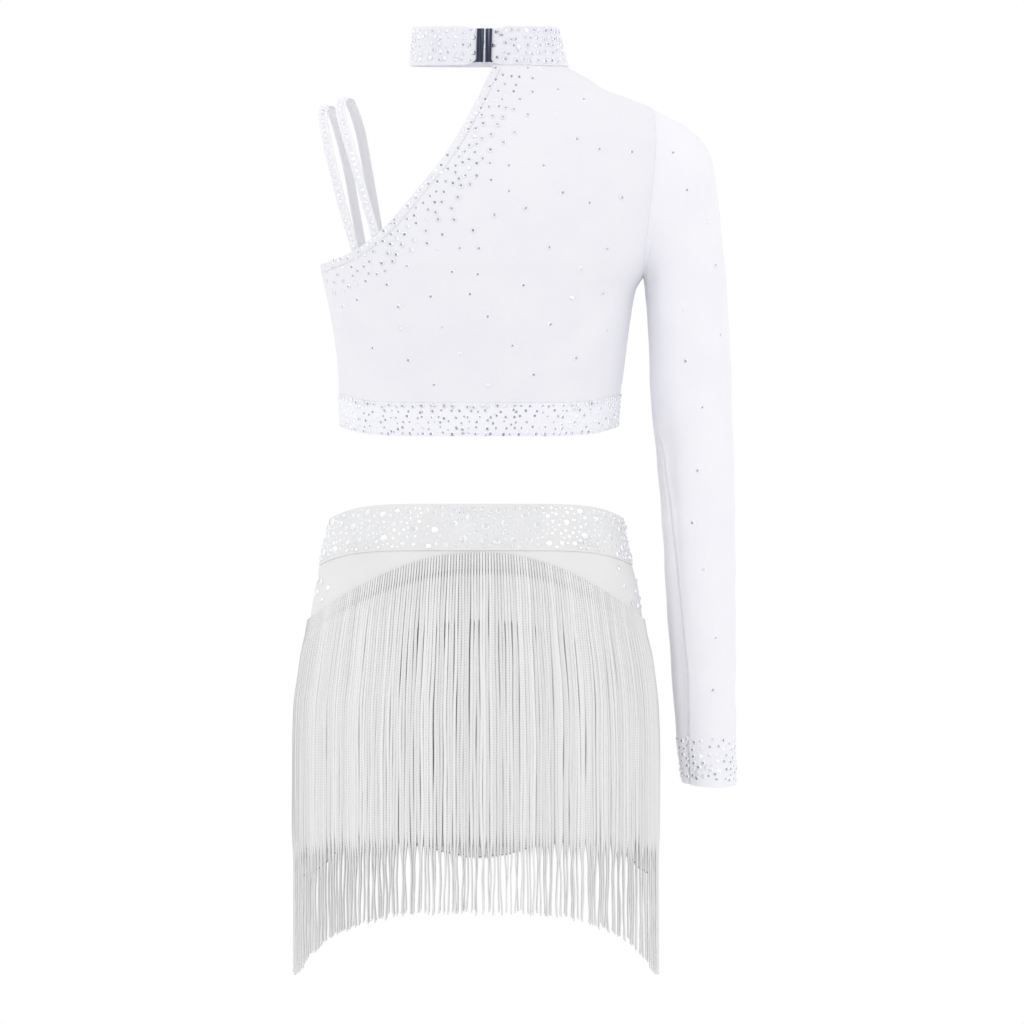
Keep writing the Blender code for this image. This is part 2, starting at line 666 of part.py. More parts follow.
def fringe_half(name, front):
    """A header strip with its cords, as one solid: each cord grows out of the strip's lower face."""
    seam = 180 if front else 0
    first, last = seam + HEADER_END_TURN, seam + 180 - HEADER_END_TURN
    trial = evenly(first, last, TRIAL_STEPS)
    lows = [fringe_height(turn) - HEADER_TALL for turn in trial]
    route = [skin(HIPS, turn, low, HEADER_CLEARANCE, hang=True) for turn, low in zip(trial, lows)]
    step = (last - first) / TRIAL_STEPS
    turns = [first + (span + share) * step for span, share in spaced_along(route, STRANDS_A_SIDE - 1)]
    made = bmesh.new()

    def corner(turn, height, out, aside):
        """A vertex at a turn, moved aside along the body, level."""
        along = form_point(HIPS, turn + 1, height, True) - form_point(HIPS, turn - 1, height, True)
        return made.verts.new(skin(HIPS, turn, height, out, hang=True) + along.normalized() * aside)

    half = STRAND_WIDE / 2
    last_strand = len(turns) - 1
    asides = [half] + [0.0] * (last_strand - 1) + [-half]
    roots = []
    for turn, aside in zip(turns, asides):
        height = fringe_height(turn) - HEADER_TALL
        roots.append((
            corner(turn, height, HEADER_CLEARANCE, aside - half),
            corner(turn, height, HEADER_CLEARANCE, aside + half),
            corner(turn, height, HEADER_CLEARANCE + HEADER_WALL, aside),
        ))
    heads = []
    for i in range(0, len(turns), STRANDS_A_GROUP):
        height = fringe_height(turns[i])
        heads.append((
            corner(turns[i], height, HEADER_CLEARANCE, asides[i] + (half if i == last_strand else -half)),
            corner(turns[i], height, HEADER_CLEARANCE + HEADER_WALL, asides[i]),
        ))
    for (_, right, apex), (left, _, next_apex) in zip(roots, roots[1:]):
        made.faces.new((right, left, next_apex, apex))
    for g, ((inner, outer), (next_inner, next_outer)) in enumerate(zip(heads, heads[1:])):
        group = roots[g * STRANDS_A_GROUP:(g + 1) * STRANDS_A_GROUP + 1]
        made.faces.new((inner, outer, next_outer, next_inner))
        made.faces.new([outer] + [root[2] for root in group] + [next_outer])
        chain = [corner_ for root in group[:-1] for corner_ in root[:2]] + [group[-1][0]]
        if g == len(heads) - 2:
            chain.append(group[-1][1])
        made.faces.new([next_inner] + chain[::-1] + [inner])
    made.faces.new((heads[0][1], heads[0][0], roots[0][0], roots[0][2]))
    made.faces.new((heads[-1][0], heads[-1][1], roots[-1][2], roots[-1][1]))
    for turn, aside, root in zip(turns, asides, roots):
        top = fringe_height(turn) - HEADER_TALL
        low = fringe_foot_height(turn)
        last_ring = root
        for fall, size in [(fall, 1.0) for fall in STRAND_STEPS] + [(top - low, STRAND_TAPER)]:
            ring = (
                corner(turn, top - fall, HANG_CLEARANCE, aside - half * size),
                corner(turn, top - fall, HANG_CLEARANCE, aside + half * size),
                corner(turn, top - fall, HANG_CLEARANCE + HEADER_WALL * size, aside),
            )
            for j in range(3):
                k = (j + 1) % 3
                made.faces.new((last_ring[j], last_ring[k], ring[k], ring[j]))
            last_ring = ring
        made.faces.new(last_ring)
    bmesh.ops.recalc_face_normals(made, faces=made.faces)
    bmesh.ops.triangulate(made, faces=made.faces)
    mesh = bpy.data.meshes.new(name)
    made.to_mesh(mesh)
    made.free()
    return finished(bpy.data.objects.new(name, mesh), "fringe_cord")


def block(name, from_corner, to_corner, collection):
    """A box between two corners, in the named collection."""
    bpy.ops.mesh.primitive_cube_add(size=1, location=(from_corner + to_corner) / 2)
    made = bpy.context.object
    made.name = name
    made.scale = to_corner - from_corner
    bpy.ops.object.transform_apply(location=False, rotation=False, scale=True)
    for holder in made.users_collection:
        holder.objects.unlink(made)
    bpy.data.collections[collection].objects.link(made)
    return made


def clasp_half(name, from_x, to_x, wall):
    """A bevelled metal plate of the clasp, its outer face CLASP_PROUD outside the collar's form."""
    outer_y = form_point(NECK, 90, CLASP_MIDDLE_HEIGHT).y - CLASP_PROUD
    low, high = CLASP_MIDDLE_HEIGHT - CLASP_TALL / 2, CLASP_MIDDLE_HEIGHT + CLASP_TALL / 2
    made = block(name, Vector((from_x, outer_y, low)), Vector((to_x, outer_y + wall, high)), COSTUME)
    made.data.materials.append(material_named("clasp_metal"))
    return made


def clasp():
    """The fastened clasp: the hook's tongue lies behind the thinner eye plate."""
    hook = clasp_half("clasp_hook", HOOK_FROM_X, HOOK_TO_X, HOOK_WALL)
    eye = clasp_half("clasp_eye", EYE_FROM_X, EYE_TO_X, EYE_WALL)
    inner_y = form_point(NECK, 90, CLASP_MIDDLE_HEIGHT).y - CLASP_PROUD + HOOK_WALL
    inner_y -= TONGUE_SET_IN
    low, high = CLASP_MIDDLE_HEIGHT - TONGUE_TALL / 2, CLASP_MIDDLE_HEIGHT + TONGUE_TALL / 2
    tongue_from = Vector((HOOK_TO_X - TONGUE_ROOT, inner_y - TONGUE_WALL, low))
    tongue_to = Vector((EYE_TO_X - TONGUE_ROOT, inner_y, high))
    tongue = block("clasp_hook_tongue", tongue_from, tongue_to, "cutters")
    tongue.hide_render = True
    tongue.display_type = "WIRE"
    joined = hook.modifiers.new("tongue", "BOOLEAN")
    joined.operation = "UNION"
    joined.object = tongue
    for half in (hook, eye):
        bevel = half.modifiers.new("edges", "BEVEL")
        bevel.width = CLASP_BEVEL
        bevel.limit_method = "ANGLE"


def new_collection(name):
    made = bpy.data.collections.new(name)
    bpy.context.scene.collection.children.link(made)
    return made


def main():
    for obj in list(bpy.data.objects):
        bpy.data.objects.remove(obj)
    new_collection(COSTUME)
    new_collection("cutters").hide_render = True

    cutters = [neckline_cutter(), armhole_cutter()]
    top_panel("top_back", False, cutters)
    top_panel("top_front", True, cutters)
    band_ring(
        "top_hem_band", TORSO, hem_height, HEM_BAND_TALL, HEM_BAND_PROUD, HEM_BAND_WALL,
        "stretch_knit", half_columns=TOP_COLUMNS, rows=1,
    )
    sleeve()
    collar()
    strap("strap_outer", STRAP_OUTER)
    strap("strap_inner", STRAP_INNER)
    clasp()

    def waistband_foot(turn):
        return waist_height(turn) - WAISTBAND_TALL

    band_ring(
        "waistband", HIPS, waistband_foot, WAISTBAND_TALL, WAISTBAND_PROUD, BAND_WALL,
        "shorts_knit", half_columns=SHORTS_COLUMNS, rows=2,
    )
    shorts_panel("shorts_back", front=False)
    shorts_panel("shorts_front", front=True)
    gusset()
    fringe_half("fringe_back", front=False)
    fringe_half("fringe_front", front=True)


main()
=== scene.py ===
"""The looks of the fringe dance costume: creased cloth, seams, rhinestones, clasp and fringe cords.

Every piece follows the forms that the costume's solids follow, so their tables are repeated here.
Metres, +Z up. The wearer faces +Y, so the photographed back is towards -Y and their right is +X.
A "turn" is an angle round the body seen from above: 0 at the wearer's right side seam, 90 at the
centre back, 180 at the left side seam and 270 at the centre front.
"""

import math

import bmesh
import bpy
import numpy as np
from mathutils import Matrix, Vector


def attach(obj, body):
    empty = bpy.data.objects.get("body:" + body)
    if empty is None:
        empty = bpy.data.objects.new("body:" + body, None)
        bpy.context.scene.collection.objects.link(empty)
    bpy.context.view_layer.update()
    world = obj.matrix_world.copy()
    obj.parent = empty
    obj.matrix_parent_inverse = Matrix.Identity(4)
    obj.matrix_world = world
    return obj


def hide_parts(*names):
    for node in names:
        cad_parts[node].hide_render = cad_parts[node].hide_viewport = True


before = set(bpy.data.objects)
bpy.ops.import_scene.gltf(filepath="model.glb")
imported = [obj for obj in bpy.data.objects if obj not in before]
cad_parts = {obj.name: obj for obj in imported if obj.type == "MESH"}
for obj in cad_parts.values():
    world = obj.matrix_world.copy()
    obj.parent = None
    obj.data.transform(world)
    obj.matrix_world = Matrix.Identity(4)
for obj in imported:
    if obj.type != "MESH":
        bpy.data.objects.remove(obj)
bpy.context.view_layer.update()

# Cloth and seams. A row of stitches is given by its pitch, and each stitch's length and thickness.
CLOTH = 0.0012
CELL = 0.0040
EDGE_HEM = 0.0070
SEWN = (0.0032, 0.0024, 0.0004)
HEM_SEWN = (0.0040, 0.0024, 0.0011)
LEAST_LENGTH = 1e-9
LEAST_CUT = 0.0101
SEAM_GAP = 0.0001
ROUNDNESS = 2.2
SHARP_ANGLE = math.radians(50)

# Cropped top, and the cutters of its neckline and armhole
COLLAR_BASE_HEIGHT = 0.4010
COLLAR_TALL = 0.0355
COLLAR_PROUD = 0.0004
UNDERARM_RIGHT_HEIGHT = 0.2106
SHOULDER_POINT_HEIGHT = 0.3618
HEM_SIDE_HEIGHT = 0.0770
HEM_BACK_DIP = 0.0095
HEM_FLATNESS = 6
HEM_BAND_TALL = 0.0300
HEM_BAND_PROUD = 0.0005

# Shorts
WAIST_SIDE_HEIGHT = -0.0060
WAIST_RISE = 0.0130
WAIST_FLATNESS = 6
WAISTBAND_TALL = 0.0420
WAISTBAND_PROUD = 0.0008
GUSSET_HALF_WIDTH = 0.0480
GUSSET_WAIST = 0.0300
GUSSET_TOP_HEIGHT = -0.3003
GUSSET_LOW_HEIGHT = -0.3115

# Fringe
FRINGE_SIDE_HEIGHT = -0.0970
FRINGE_RISE = 0.0600
FRINGE_FLATNESS = 2
HEADER_TALL = 0.0150
HEADER_CLEARANCE = 0.0006
HEADER_END_TURN = 0.25
TAPE_THICK = 0.0005
TRIAL_STEPS = 720

# The body form of the top: height, half widths to the left and right, depths to back and front
TORSO = (
    (0.060, 0.1240, 0.1235, 0.0860, 0.0900), (0.092, 0.1264, 0.1247, 0.0880, 0.0960),
    (0.128, 0.1278, 0.1296, 0.0920, 0.1060), (0.164, 0.1323, 0.1341, 0.0970, 0.1150),
    (0.200, 0.1395, 0.1404, 0.1010, 0.1170), (0.2106, 0.1420, 0.1467, 0.1020, 0.1160),
    (0.227, 0.1450, 0.1550, 0.1040, 0.1130), (0.258, 0.1610, 0.1660, 0.1030, 0.1070),
    (0.299, 0.1720, 0.1740, 0.0970, 0.0950), (0.335, 0.1700, 0.1710, 0.0840, 0.0800),
    (0.352, 0.1640, 0.1640, 0.0750, 0.0710), (0.3618, 0.1560, 0.1570, 0.0690, 0.0650),
    (0.3735, 0.1350, 0.1305, 0.0630, 0.0590), (0.380, 0.1170, 0.1125, 0.0600, 0.0555),
    (0.389, 0.0900, 0.0990, 0.0570, 0.0525), (0.401, 0.0626, 0.0790, 0.0540, 0.0490),
    (0.410, 0.0560, 0.0730, 0.0520, 0.0470),
)

# The body form of the collar, in the same columns
NECK = (
    (0.390, 0.0632, 0.0810, 0.0540, 0.0490), (0.401, 0.0630, 0.0793, 0.0540, 0.0490),
    (0.416, 0.0621, 0.0752, 0.0536, 0.0486), (0.430, 0.0608, 0.0722, 0.0532, 0.0482),
    (0.440, 0.0598, 0.0700, 0.0530, 0.0480),
)

# The body form of the shorts, in the same columns
HIPS = (
    (0.010, 0.1310, 0.1275, 0.0920, 0.0880), (-0.016, 0.1369, 0.1297, 0.0950, 0.0900),
    (-0.034, 0.1415, 0.1330, 0.0975, 0.0920), (-0.052, 0.1449, 0.1380, 0.1010, 0.0940),
    (-0.070, 0.1485, 0.1425, 0.1050, 0.0960), (-0.106, 0.1545, 0.1475, 0.1120, 0.0990),
    (-0.142, 0.1596, 0.1533, 0.1165, 0.1000), (-0.178, 0.1641, 0.1569, 0.1175, 0.1000),
    (-0.214, 0.1650, 0.1578, 0.1150, 0.0990), (-0.250, 0.1640, 0.1570, 0.1105, 0.0970),
    (-0.290, 0.1610, 0.1540, 0.1050, 0.0940), (-0.335, 0.1580, 0.1510, 0.1000, 0.0900),
)

# The slanting neckline, from the left underarm to the collar: x, height
NECKLINE = (
    (-0.1440, 0.2215), (-0.1152, 0.2331), (-0.0891, 0.2520), (-0.0558, 0.2898), (-0.0279, 0.3258),
    (-0.0072, 0.3618), (0.0120, 0.4010),
)

# The armhole seam, from the underarm to the shoulder point: height, x
ARMHOLE = (
    (0.2106, 0.1467), (0.2300, 0.1484), (0.2583, 0.1512), (0.2988, 0.1557), (0.3348, 0.1582),
    (0.3618, 0.1570),
)

# Rings down the sleeve: inner x and height, outer x and height, half depth, middle y, and the
# crease's depth as a share of the ring. Angles round a ring run from the underarm by way of the back.
SLEEVE = (
    (0.1472, 0.2086, 0.1745, 0.3528, 0.0490, 0.000, 0.0),
    (0.1477, 0.2056, 0.1899, 0.3438, 0.0495, 0.000, 0.0),
    (0.1482, 0.2020, 0.2010, 0.3321, 0.0490, 0.000, 0.0),
    (0.1486, 0.1965, 0.2085, 0.3186, 0.0480, 0.000, 0.0),
    (0.1496, 0.1880, 0.2124, 0.2970, 0.0465, 0.000, 0.0),
    (0.1506, 0.1746, 0.2162, 0.2628, 0.0445, 0.000, 0.0),
    (0.1516, 0.1548, 0.2212, 0.2133, 0.0425, -0.001, 0.0),
    (0.1523, 0.1233, 0.2250, 0.1503, 0.0410, -0.002, 0.0),
    (0.1552, 0.0846, 0.2271, 0.0918, 0.0395, -0.003, 0.02),
    (0.1598, 0.0423, 0.2286, 0.0423, 0.0380, -0.003, 0.05),
    (0.1640, -0.0162, 0.2295, -0.0162, 0.0365, -0.001, 0.08),
    (0.1683, -0.0882, 0.2303, -0.0882, 0.0340, 0.003, 0.09),
    (0.1736, -0.1602, 0.2304, -0.1602, 0.0305, 0.009, 0.09),
    (0.1772, -0.2052, 0.2306, -0.2070, 0.0280, 0.013, 0.08),
    (0.1816, -0.2420, 0.2310, -0.2448, 0.0265, 0.016, 0.07),
)
CREASE_ANGLE = 46
CREASE_SPREAD = 13
CUFF_BACK_DROP = 0.0045

# Straps, from the back neckline over the shoulder to the front: x, height, share of body depth
STRAP_WIDE = 0.0088
STRAP_OUTER = (
    (-0.1095, 0.2270, 0.955), (-0.1128, 0.2376, 0.955), (-0.1218, 0.2673, 0.970), (-0.1310, 0.3033, 0.980),
    (-0.1390, 0.3393, 0.900), (-0.1414, 0.3573, 0.640), (-0.1388, 0.3655, 0.240), (-0.1350, 0.3645, -0.200),
    (-0.1310, 0.3550, -0.620), (-0.1260, 0.3380, -0.880), (-0.1192, 0.3078, -0.960),
    (-0.1122, 0.2673, -0.965), (-0.1075, 0.2420, -0.960), (-0.1055, 0.2300, -0.960),
)
STRAP_INNER = (
    (-0.0930, 0.2430, 0.965), (-0.0958, 0.2550, 0.965), (-0.1022, 0.2763, 0.970), (-0.1122, 0.3123, 0.980),
    (-0.1214, 0.3438, 0.900), (-0.1256, 0.3630, 0.620), (-0.1226, 0.3725, 0.220), (-0.1184, 0.3715, -0.200),
    (-0.1138, 0.3620, -0.600), (-0.1082, 0.3438, -0.860), (-0.1016, 0.3078, -0.960),
    (-0.0962, 0.2763, -0.965), (-0.0924, 0.2538, -0.965), (-0.0908, 0.2440, -0.965),
)

# The hem of the shorts' back and front, from the middle to the side seam: x, height
LEG_HEM = (
    (0.0000, -0.3003), (0.0500, -0.3003), (0.0720, -0.2970), (0.0945, -0.2930), (0.1125, -0.2945),
    (0.1305, -0.3090), (0.1480, -0.3240), (0.1600, -0.3280),
)

# The cut ends of the fringe: turn from the side seam, height
FRINGE_FOOT = (
    (0, -0.4150), (13, -0.4140), (21, -0.4040), (28, -0.3942), (39, -0.3816), (53, -0.3699), (68, -0.3618),
    (90, -0.3591),
)

# The gusset's middle line from back to front: share of the way across, drop below its top edge
GUSSET_LINE = (
    (0.000, 0.00), (0.004, 0.50), (0.050, 0.86), (0.180, 0.97), (0.500, 1.00), (0.820, 0.97), (0.950, 0.86),
    (0.996, 0.50), (1.000, 0.00),
)

# Hook clasp at the centre back
CLASP_TALL = 0.0302
CLASP_HEIGHT = 0.4190
CLASP_PROUD = 0.0012
HOOK_FROM_X = -0.0030
HOOK_TO_X = 0.0034
HOOK_WALL = 0.0022
EYE_FROM_X = 0.0048
EYE_TO_X = 0.0106
EYE_WALL = 0.0011
TONGUE_TALL = 0.0080
TONGUE_WALL = 0.0008
TONGUE_ROOT = 0.0010
CLASP_RIDGE = 0.0004
CLASP_FOOT = 0.0034
CLASP_LEAN = 0.0008

# Grids of the cloth, and how far its edges keep their solid's place
TOP_CLOTH_COLUMNS = 84
TOP_CLOTH_ROWS = 92
BAND_COLUMNS = 200
COLLAR_COLUMNS = 120
PINCH_TURN = 9.0
FOOT_FADE = 0.050
TOP_EDGE_FADE = 0.022
TOP_UNEVEN = 0.0010
BAND_UNEVEN = 0.0006
BAND_LINING = 0.0006
COLLAR_FOLD_X = 0.034
COLLAR_FOLD_HALF = 0.014
COLLAR_FOLD_TALL = 0.0016
COLLAR_FOLD_DEEP = 0.0010
COLLAR_UNEVEN = 0.0007
COLLAR_LINING = 0.0008
SLEEVE_AROUND = 90
SLEEVE_FINE_TURNS = (10.0, 64.0, 1.5)
SLEEVE_SEAM = (
    (7.4, 14), (8.0, 18), (9.0, 31), (10.0, 39), (11.0, 48), (12.0, 54), (13.0, 47), (14.0, 39),
)
SLEEVE_SEAM_DEEP = 0.0028
SLEEVE_SEAM_HALF = 0.0009
SLEEVE_LIP = 0.0008
SLEEVE_LIP_APART = 0.0035
SLEEVE_LIP_HALF = 0.0020
SLEEVE_UNEVEN = 0.0010
SLEEVE_EDGE_FADE = 0.020
SLEEVE_STEPS = (3, 3, 4, 5, 8, 10, 10, 10, 10, 10, 12, 12, 10, 10)
STRAP_CLOTH_STEPS = 90
STRAP_CROWN = 0.0006
CHEST_HEIGHT = 0.28
SHORTS_CLOTH_COLUMNS = 110
SHORTS_CLOTH_ROWS = 64
UNDER_FRINGE = 0.0003
SHORTS_UNEVEN = 0.0006
SHORTS_EDGE_FADE = 0.02
GUSSET_ROUND = 0.85
GUSSET_STITCH_DIP = 0.0100

# Fringe cords
CORDS_A_SIDE = 166
CORD_STEPS = 44
CORD_FINE_SHARES = (0.15, 0.28, 0.008)
CORD_RADIUS = 0.00156
CORD_TAPER = 0.74
CORD_FILL = 0.30
CORD_SWELL = 0.14
CORD_THIN_FROM = -0.286
CORD_LAYER = 0.0008
CORD_OUT = 0.0017
CORD_DEPTH_SPREAD = 0.0003
CORD_END_SPREAD = 0.0012
FREE_HEIGHT = -0.285
SWAY_SHARE = 0.26
FREE_SWAY_SHARE = 0.30
SHIFT_SHARE = 0.40
BUNCH_SHARE = 0.20
BUNCH_FALL = 0.063
BUNCH_TALL = 0.030
BUNCH_APART = 0.0257
BUNCH_X = -0.0036
BUNCH_REACH = 0.075
BUNCH_PULL = 0.36
PAIR_SHARE = 0.62
PAIR_PULL = 0.85
PAIR_FROM = -0.291
PAIR_FALL = 0.032
HEADER_PINCH = 0.16
SIDE_CORDS = 5
HEADER_THIN = 0.17
CORD_KNOT = 1.3
CORD_ROOT = 0.9
# Cord colours: plain white, a painted shade for the chain links' grooves and for darker cords, and a greyer
# painted shade for each cord's edges
CORD_WHITE = "f5f5f5"
CORD_SHADE = "dcdcdc"
CORD_EDGE_SHADE = "c0c0c0"

# Sideways waves of the cords: length, size as a share of the cords' pitch
LOOSE_WAVES = ((0.210, 0.5), (0.110, 0.3), (0.060, 0.12))
FREE_WAVES = ((0.075, 0.7), (0.038, 0.22))
LOOSE_FADE = 0.060
FREE_FADE = 0.045

# Stones
STONE_CUT = {"table_share": 0.56, "height_share": 0.40}
STONE_TILT = 0.035
STONE_SET_IN = 0.0001
STONE_TRIES = 9000
NECKLINE_BARE = 0.0025
NECKLINE_THICK = 0.028
NECKLINE_ROOM = 0.0061
NECKLINE_THINNING = 0.42
BACK_ROOM = 0.0135
EDGE_PITCH = 0.0048
EDGE_INSIDE = 0.0022
EDGE_STONE = 0.0030
STRAP_PITCH = 0.0060
STRAP_STONE = 0.0040
NECKLINE_STONES = (0.0036, 0.0042, 0.0046)
SLEEVE_STONE_SIZES = (0.0034, 0.0042, 0.0048)
YOKE_STONES = (0.0045, 0.006)
YOKE_APART = 0.0115
YOKE_REACH = 26
YOKE_TRIES = 400
CUFF_RINGS = 14
CUFF_TALL = 0.0400
CUFF_ROOM = 0.0060
CUFF_TRIES = 3000

# Staggered rows of stones: pitch, number of rows, size, unevenness as a share of the pitch, seed
COLLAR_ROWS = (0.0076, 5, 0.0040, 0.35, 91)
HEM_ROWS = (0.0076, 6, 0.0038, 0.40, 92)

# Stones of the waistband: size, number of throws
WAISTBAND_STONES = ((0.0072, 200), (0.0054, 700), (0.0040, 2600), (0.0026, 7000))

# Studio
VIEW_X = 0.0288
VIEW_HALF = 0.4608
CAMERA_AWAY = 25.0
CAMERA_HEIGHT = -0.10
FLOOR_HALF = 1.8
FLOOR_HEIGHT = -0.60
WORLD_SCALE = 0.5
WORLD_STOPS = ((0.0, 0.90), (0.07, 0.90), (0.16, 1.08), (0.55, 1.08), (0.80, 1.0))
LAMPS = (
    ("key_lamp", (-1.6, -2.6, 1.8), (1.6, 1.6), 6.0),
    ("fill_lamp", (2.2, -2.0, 0.4), (1.6, 2.0), 3.0),
)


# Places of single stones that the photograph shows on the back: x, height
BACK_STONES = (
    (0.054, 0.399), (0.070, 0.379), (0.047, 0.389), (0.067, 0.358), (0.043, 0.356), (0.052, 0.332),
    (0.031, 0.340), (0.087, 0.334), (0.107, 0.325), (0.124, 0.354), (0.136, 0.323), (0.093, 0.370),
    (0.057, 0.310), (0.026, 0.310), (0.009, 0.312), (0.010, 0.297), (0.026, 0.287), (0.074, 0.286),
    (0.098, 0.277), (0.127, 0.282), (0.041, 0.272), (0.013, 0.266), (0.062, 0.237), (0.031, 0.230),
    (-0.001, 0.236), (-0.006, 0.252), (-0.018, 0.236), (0.114, 0.236), (-0.038, 0.235),
    (-0.025, 0.215), (-0.002, 0.213), (0.090, 0.218), (0.039, 0.203), (-0.009, 0.195),
    (-0.044, 0.193), (-0.073, 0.184), (0.083, 0.192), (0.110, 0.196), (0.007, 0.175),
    (-0.034, 0.166), (-0.071, 0.164), (0.063, 0.168), (0.113, 0.163), (-0.018, 0.141),
    (0.029, 0.149), (0.086, 0.138), (-0.064, 0.136), (-0.096, 0.147), (0.048, 0.123),
    (-0.041, 0.114), (0.007, 0.113),
)

# Places of single stones on the sleeve's back: x, height
SLEEVE_STONES = (
    (0.174, 0.322), (0.187, 0.290), (0.212, 0.222), (0.183, 0.182), (0.215, 0.160), (0.184, 0.135),
    (0.195, 0.038), (0.202, -0.054), (0.211, -0.115), (0.205, 0.262), (0.199, 0.095),
    (0.190, -0.012), (0.208, -0.160),
)

# Soft creases: from x, height, to x, height, half width, rise. A trough's rise is negative.
BACK_CREASES = (
    (0.135, 0.205, 0.085, 0.120, 0.0085, 0.0014), (0.128, 0.200, 0.060, 0.135, 0.0070, -0.0011),
    (0.139, 0.180, 0.112, 0.108, 0.0060, 0.0010), (0.120, 0.215, 0.070, 0.195, 0.0080, 0.0009),
    (-0.125, 0.205, -0.085, 0.120, 0.0090, 0.0012), (-0.110, 0.195, -0.050, 0.130, 0.0080, -0.0008),
    (0.140, 0.330, 0.085, 0.270, 0.0090, 0.0009), (0.132, 0.300, 0.080, 0.235, 0.0080, -0.0008),
    (0.060, 0.392, 0.120, 0.362, 0.0060, 0.0007), (0.000, 0.290, -0.060, 0.235, 0.0080, -0.0007),
)
FRONT_CREASES = (
    (0.130, 0.200, 0.070, 0.150, 0.0085, 0.0013), (0.136, 0.185, 0.100, 0.112, 0.0070, -0.0010),
    (-0.125, 0.205, -0.080, 0.150, 0.0090, 0.0012), (-0.120, 0.190, -0.095, 0.112, 0.0070, -0.0009),
    (0.140, 0.325, 0.070, 0.265, 0.0095, 0.0010), (0.060, 0.200, -0.060, 0.206, 0.0110, -0.0008),
    (0.052, 0.150, 0.030, 0.110, 0.0070, 0.0009), (-0.040, 0.150, -0.022, 0.112, 0.0070, 0.0008),
    (0.062, 0.388, 0.115, 0.355, 0.0060, 0.0007),
)
SHORTS_CREASES = (
    (0.110, -0.110, 0.135, -0.190, 0.0080, 0.0009), (-0.110, -0.110, -0.135, -0.190, 0.0080, 0.0009),
    (0.130, -0.075, 0.146, -0.120, 0.0060, -0.0007), (-0.128, -0.075, -0.142, -0.125, 0.0060, -0.0006),
    (0.020, -0.240, 0.075, -0.285, 0.0080, 0.0009), (-0.020, -0.240, -0.075, -0.285, 0.0080, 0.0009),
    (0.000, -0.200, 0.000, -0.295, 0.0060, -0.0009),
)

# Creases across the sleeve: ring place, angle, half length in rings, half width in degrees, rise
SLEEVE_CREASES = (
    (3.2, 35, 1.6, 16, -0.0014), (4.6, 50, 1.8, 12, 0.0010), (5.6, 92, 1.6, 14, -0.0009),
    (8.6, 60, 0.5, 40, -0.0016), (9.1, 75, 0.4, 45, 0.0011), (9.5, 110, 0.4, 40, -0.0010),
    (9.0, 250, 0.5, 50, -0.0016), (9.5, 265, 0.4, 50, 0.0012), (8.4, 290, 0.5, 40, 0.0010),
    (11.3, 80, 0.5, 45, -0.0009), (12.5, 90, 0.3, 50, 0.0008), (13.1, 110, 0.2, 60, -0.0009),
    (13.4, 80, 0.16, 70, 0.0008), (13.0, 280, 0.3, 60, -0.0009), (2.4, 215, 1.0, 18, 0.0010),
    (3.4, 320, 1.5, 16, -0.0013), (5.0, 300, 1.6, 13, 0.0010),
)

HEIGHT, LEFT, RIGHT, BACK, FRONT = range(5)


def linear(colour):
    """The linear colour of an sRGB hex string, opaque."""
    parts = [int(colour[i:i + 2], 16) / 255 for i in (0, 2, 4)]
    return tuple(p / 12.92 if p <= 0.04045 else ((p + 0.055) / 1.055) ** 2.4 for p in parts) + (1.0,)


def add(tree, kind, inputs=None, **settings):
    """A node with its settings. An input is given as a value or as the socket that feeds it."""
    made = tree.nodes.new(kind)
    for name, value in settings.items():
        setattr(made, name, value)
    for name, value in (inputs or {}).items():
        socket = made.inputs[name]
        if isinstance(value, bpy.types.NodeSocket):
            tree.links.new(value, socket)
        else:
            socket.default_value = value
    return made


def smooth_values(table, column, places, by=0):
    """A curve through one column of a table, with no overshoot between its rows."""
    rows = sorted(table, key=lambda row: row[by])
    knots = np.array([row[by] for row in rows], float)
    values = np.array([row[column] for row in rows], float)
    places = np.clip(places, knots[0], knots[-1])
    secants = np.diff(values) / np.diff(knots)
    before, after = secants[:-1], secants[1:]
    same_way = before * after > 0
    inner = np.where(same_way, 2 * before * after / np.where(same_way, before + after, 1.0), 0.0)
    slopes = np.concatenate((secants[:1], inner, secants[-1:]))
    span = np.clip(np.searchsorted(knots, places, side="left") - 1, 0, len(secants) - 1)
    wide = knots[span + 1] - knots[span]
    t = (places - knots[span]) / wide
    start = values[span] * (1 + 2 * t) * (1 - t) ** 2 + slopes[span] * wide * t * (1 - t) ** 2
    end = values[span + 1] * t * t * (3 - 2 * t) + slopes[span + 1] * wide * t * t * (t - 1)
    return start + end


def powered(values, power):
    return np.sign(values) * np.abs(values) ** power


def form_points(form, turns, heights, hang=False):
    """Points of a body form at turns and heights. Hanging points never come back inwards."""
    turns, heights = np.broadcast_arrays(np.asarray(turns, float), np.asarray(heights, float))
    sizes = [smooth_values(form, column, heights) for column in (LEFT, RIGHT, BACK, FRONT)]
    if hang:
        for row in form:
            above = row[HEIGHT] >= heights
            sizes = [
                np.where(above, np.maximum(size, row[column]), size)
                for size, column in zip(sizes, (LEFT, RIGHT, BACK, FRONT))
            ]
    left, right, back, front = sizes
    across = powered(np.cos(np.radians(turns)), 2 / ROUNDNESS)
    deep = powered(np.sin(np.radians(turns)), 2 / ROUNDNESS)
    x = across * np.where(across > 0, right, left)
    y = -deep * np.where(deep > 0, back, front)
    return np.stack((x, y, heights), -1)


def unit(vectors):
    return vectors / np.maximum(np.linalg.norm(vectors, axis=-1, keepdims=True), LEAST_LENGTH)


def form_normals(form, turns, heights, hang=False):
    """The outward directions of a body form at turns and heights."""
    small_turn, small_height = 0.5, 0.001
    turns, heights = np.asarray(turns, float), np.asarray(heights, float)
    before = form_points(form, turns - small_turn, heights, hang)
    after = form_points(form, turns + small_turn, heights, hang)
    below = form_points(form, turns, heights - small_height, hang)
    above = form_points(form, turns, heights + small_height, hang)
    return unit(np.cross(above - below, after - before))


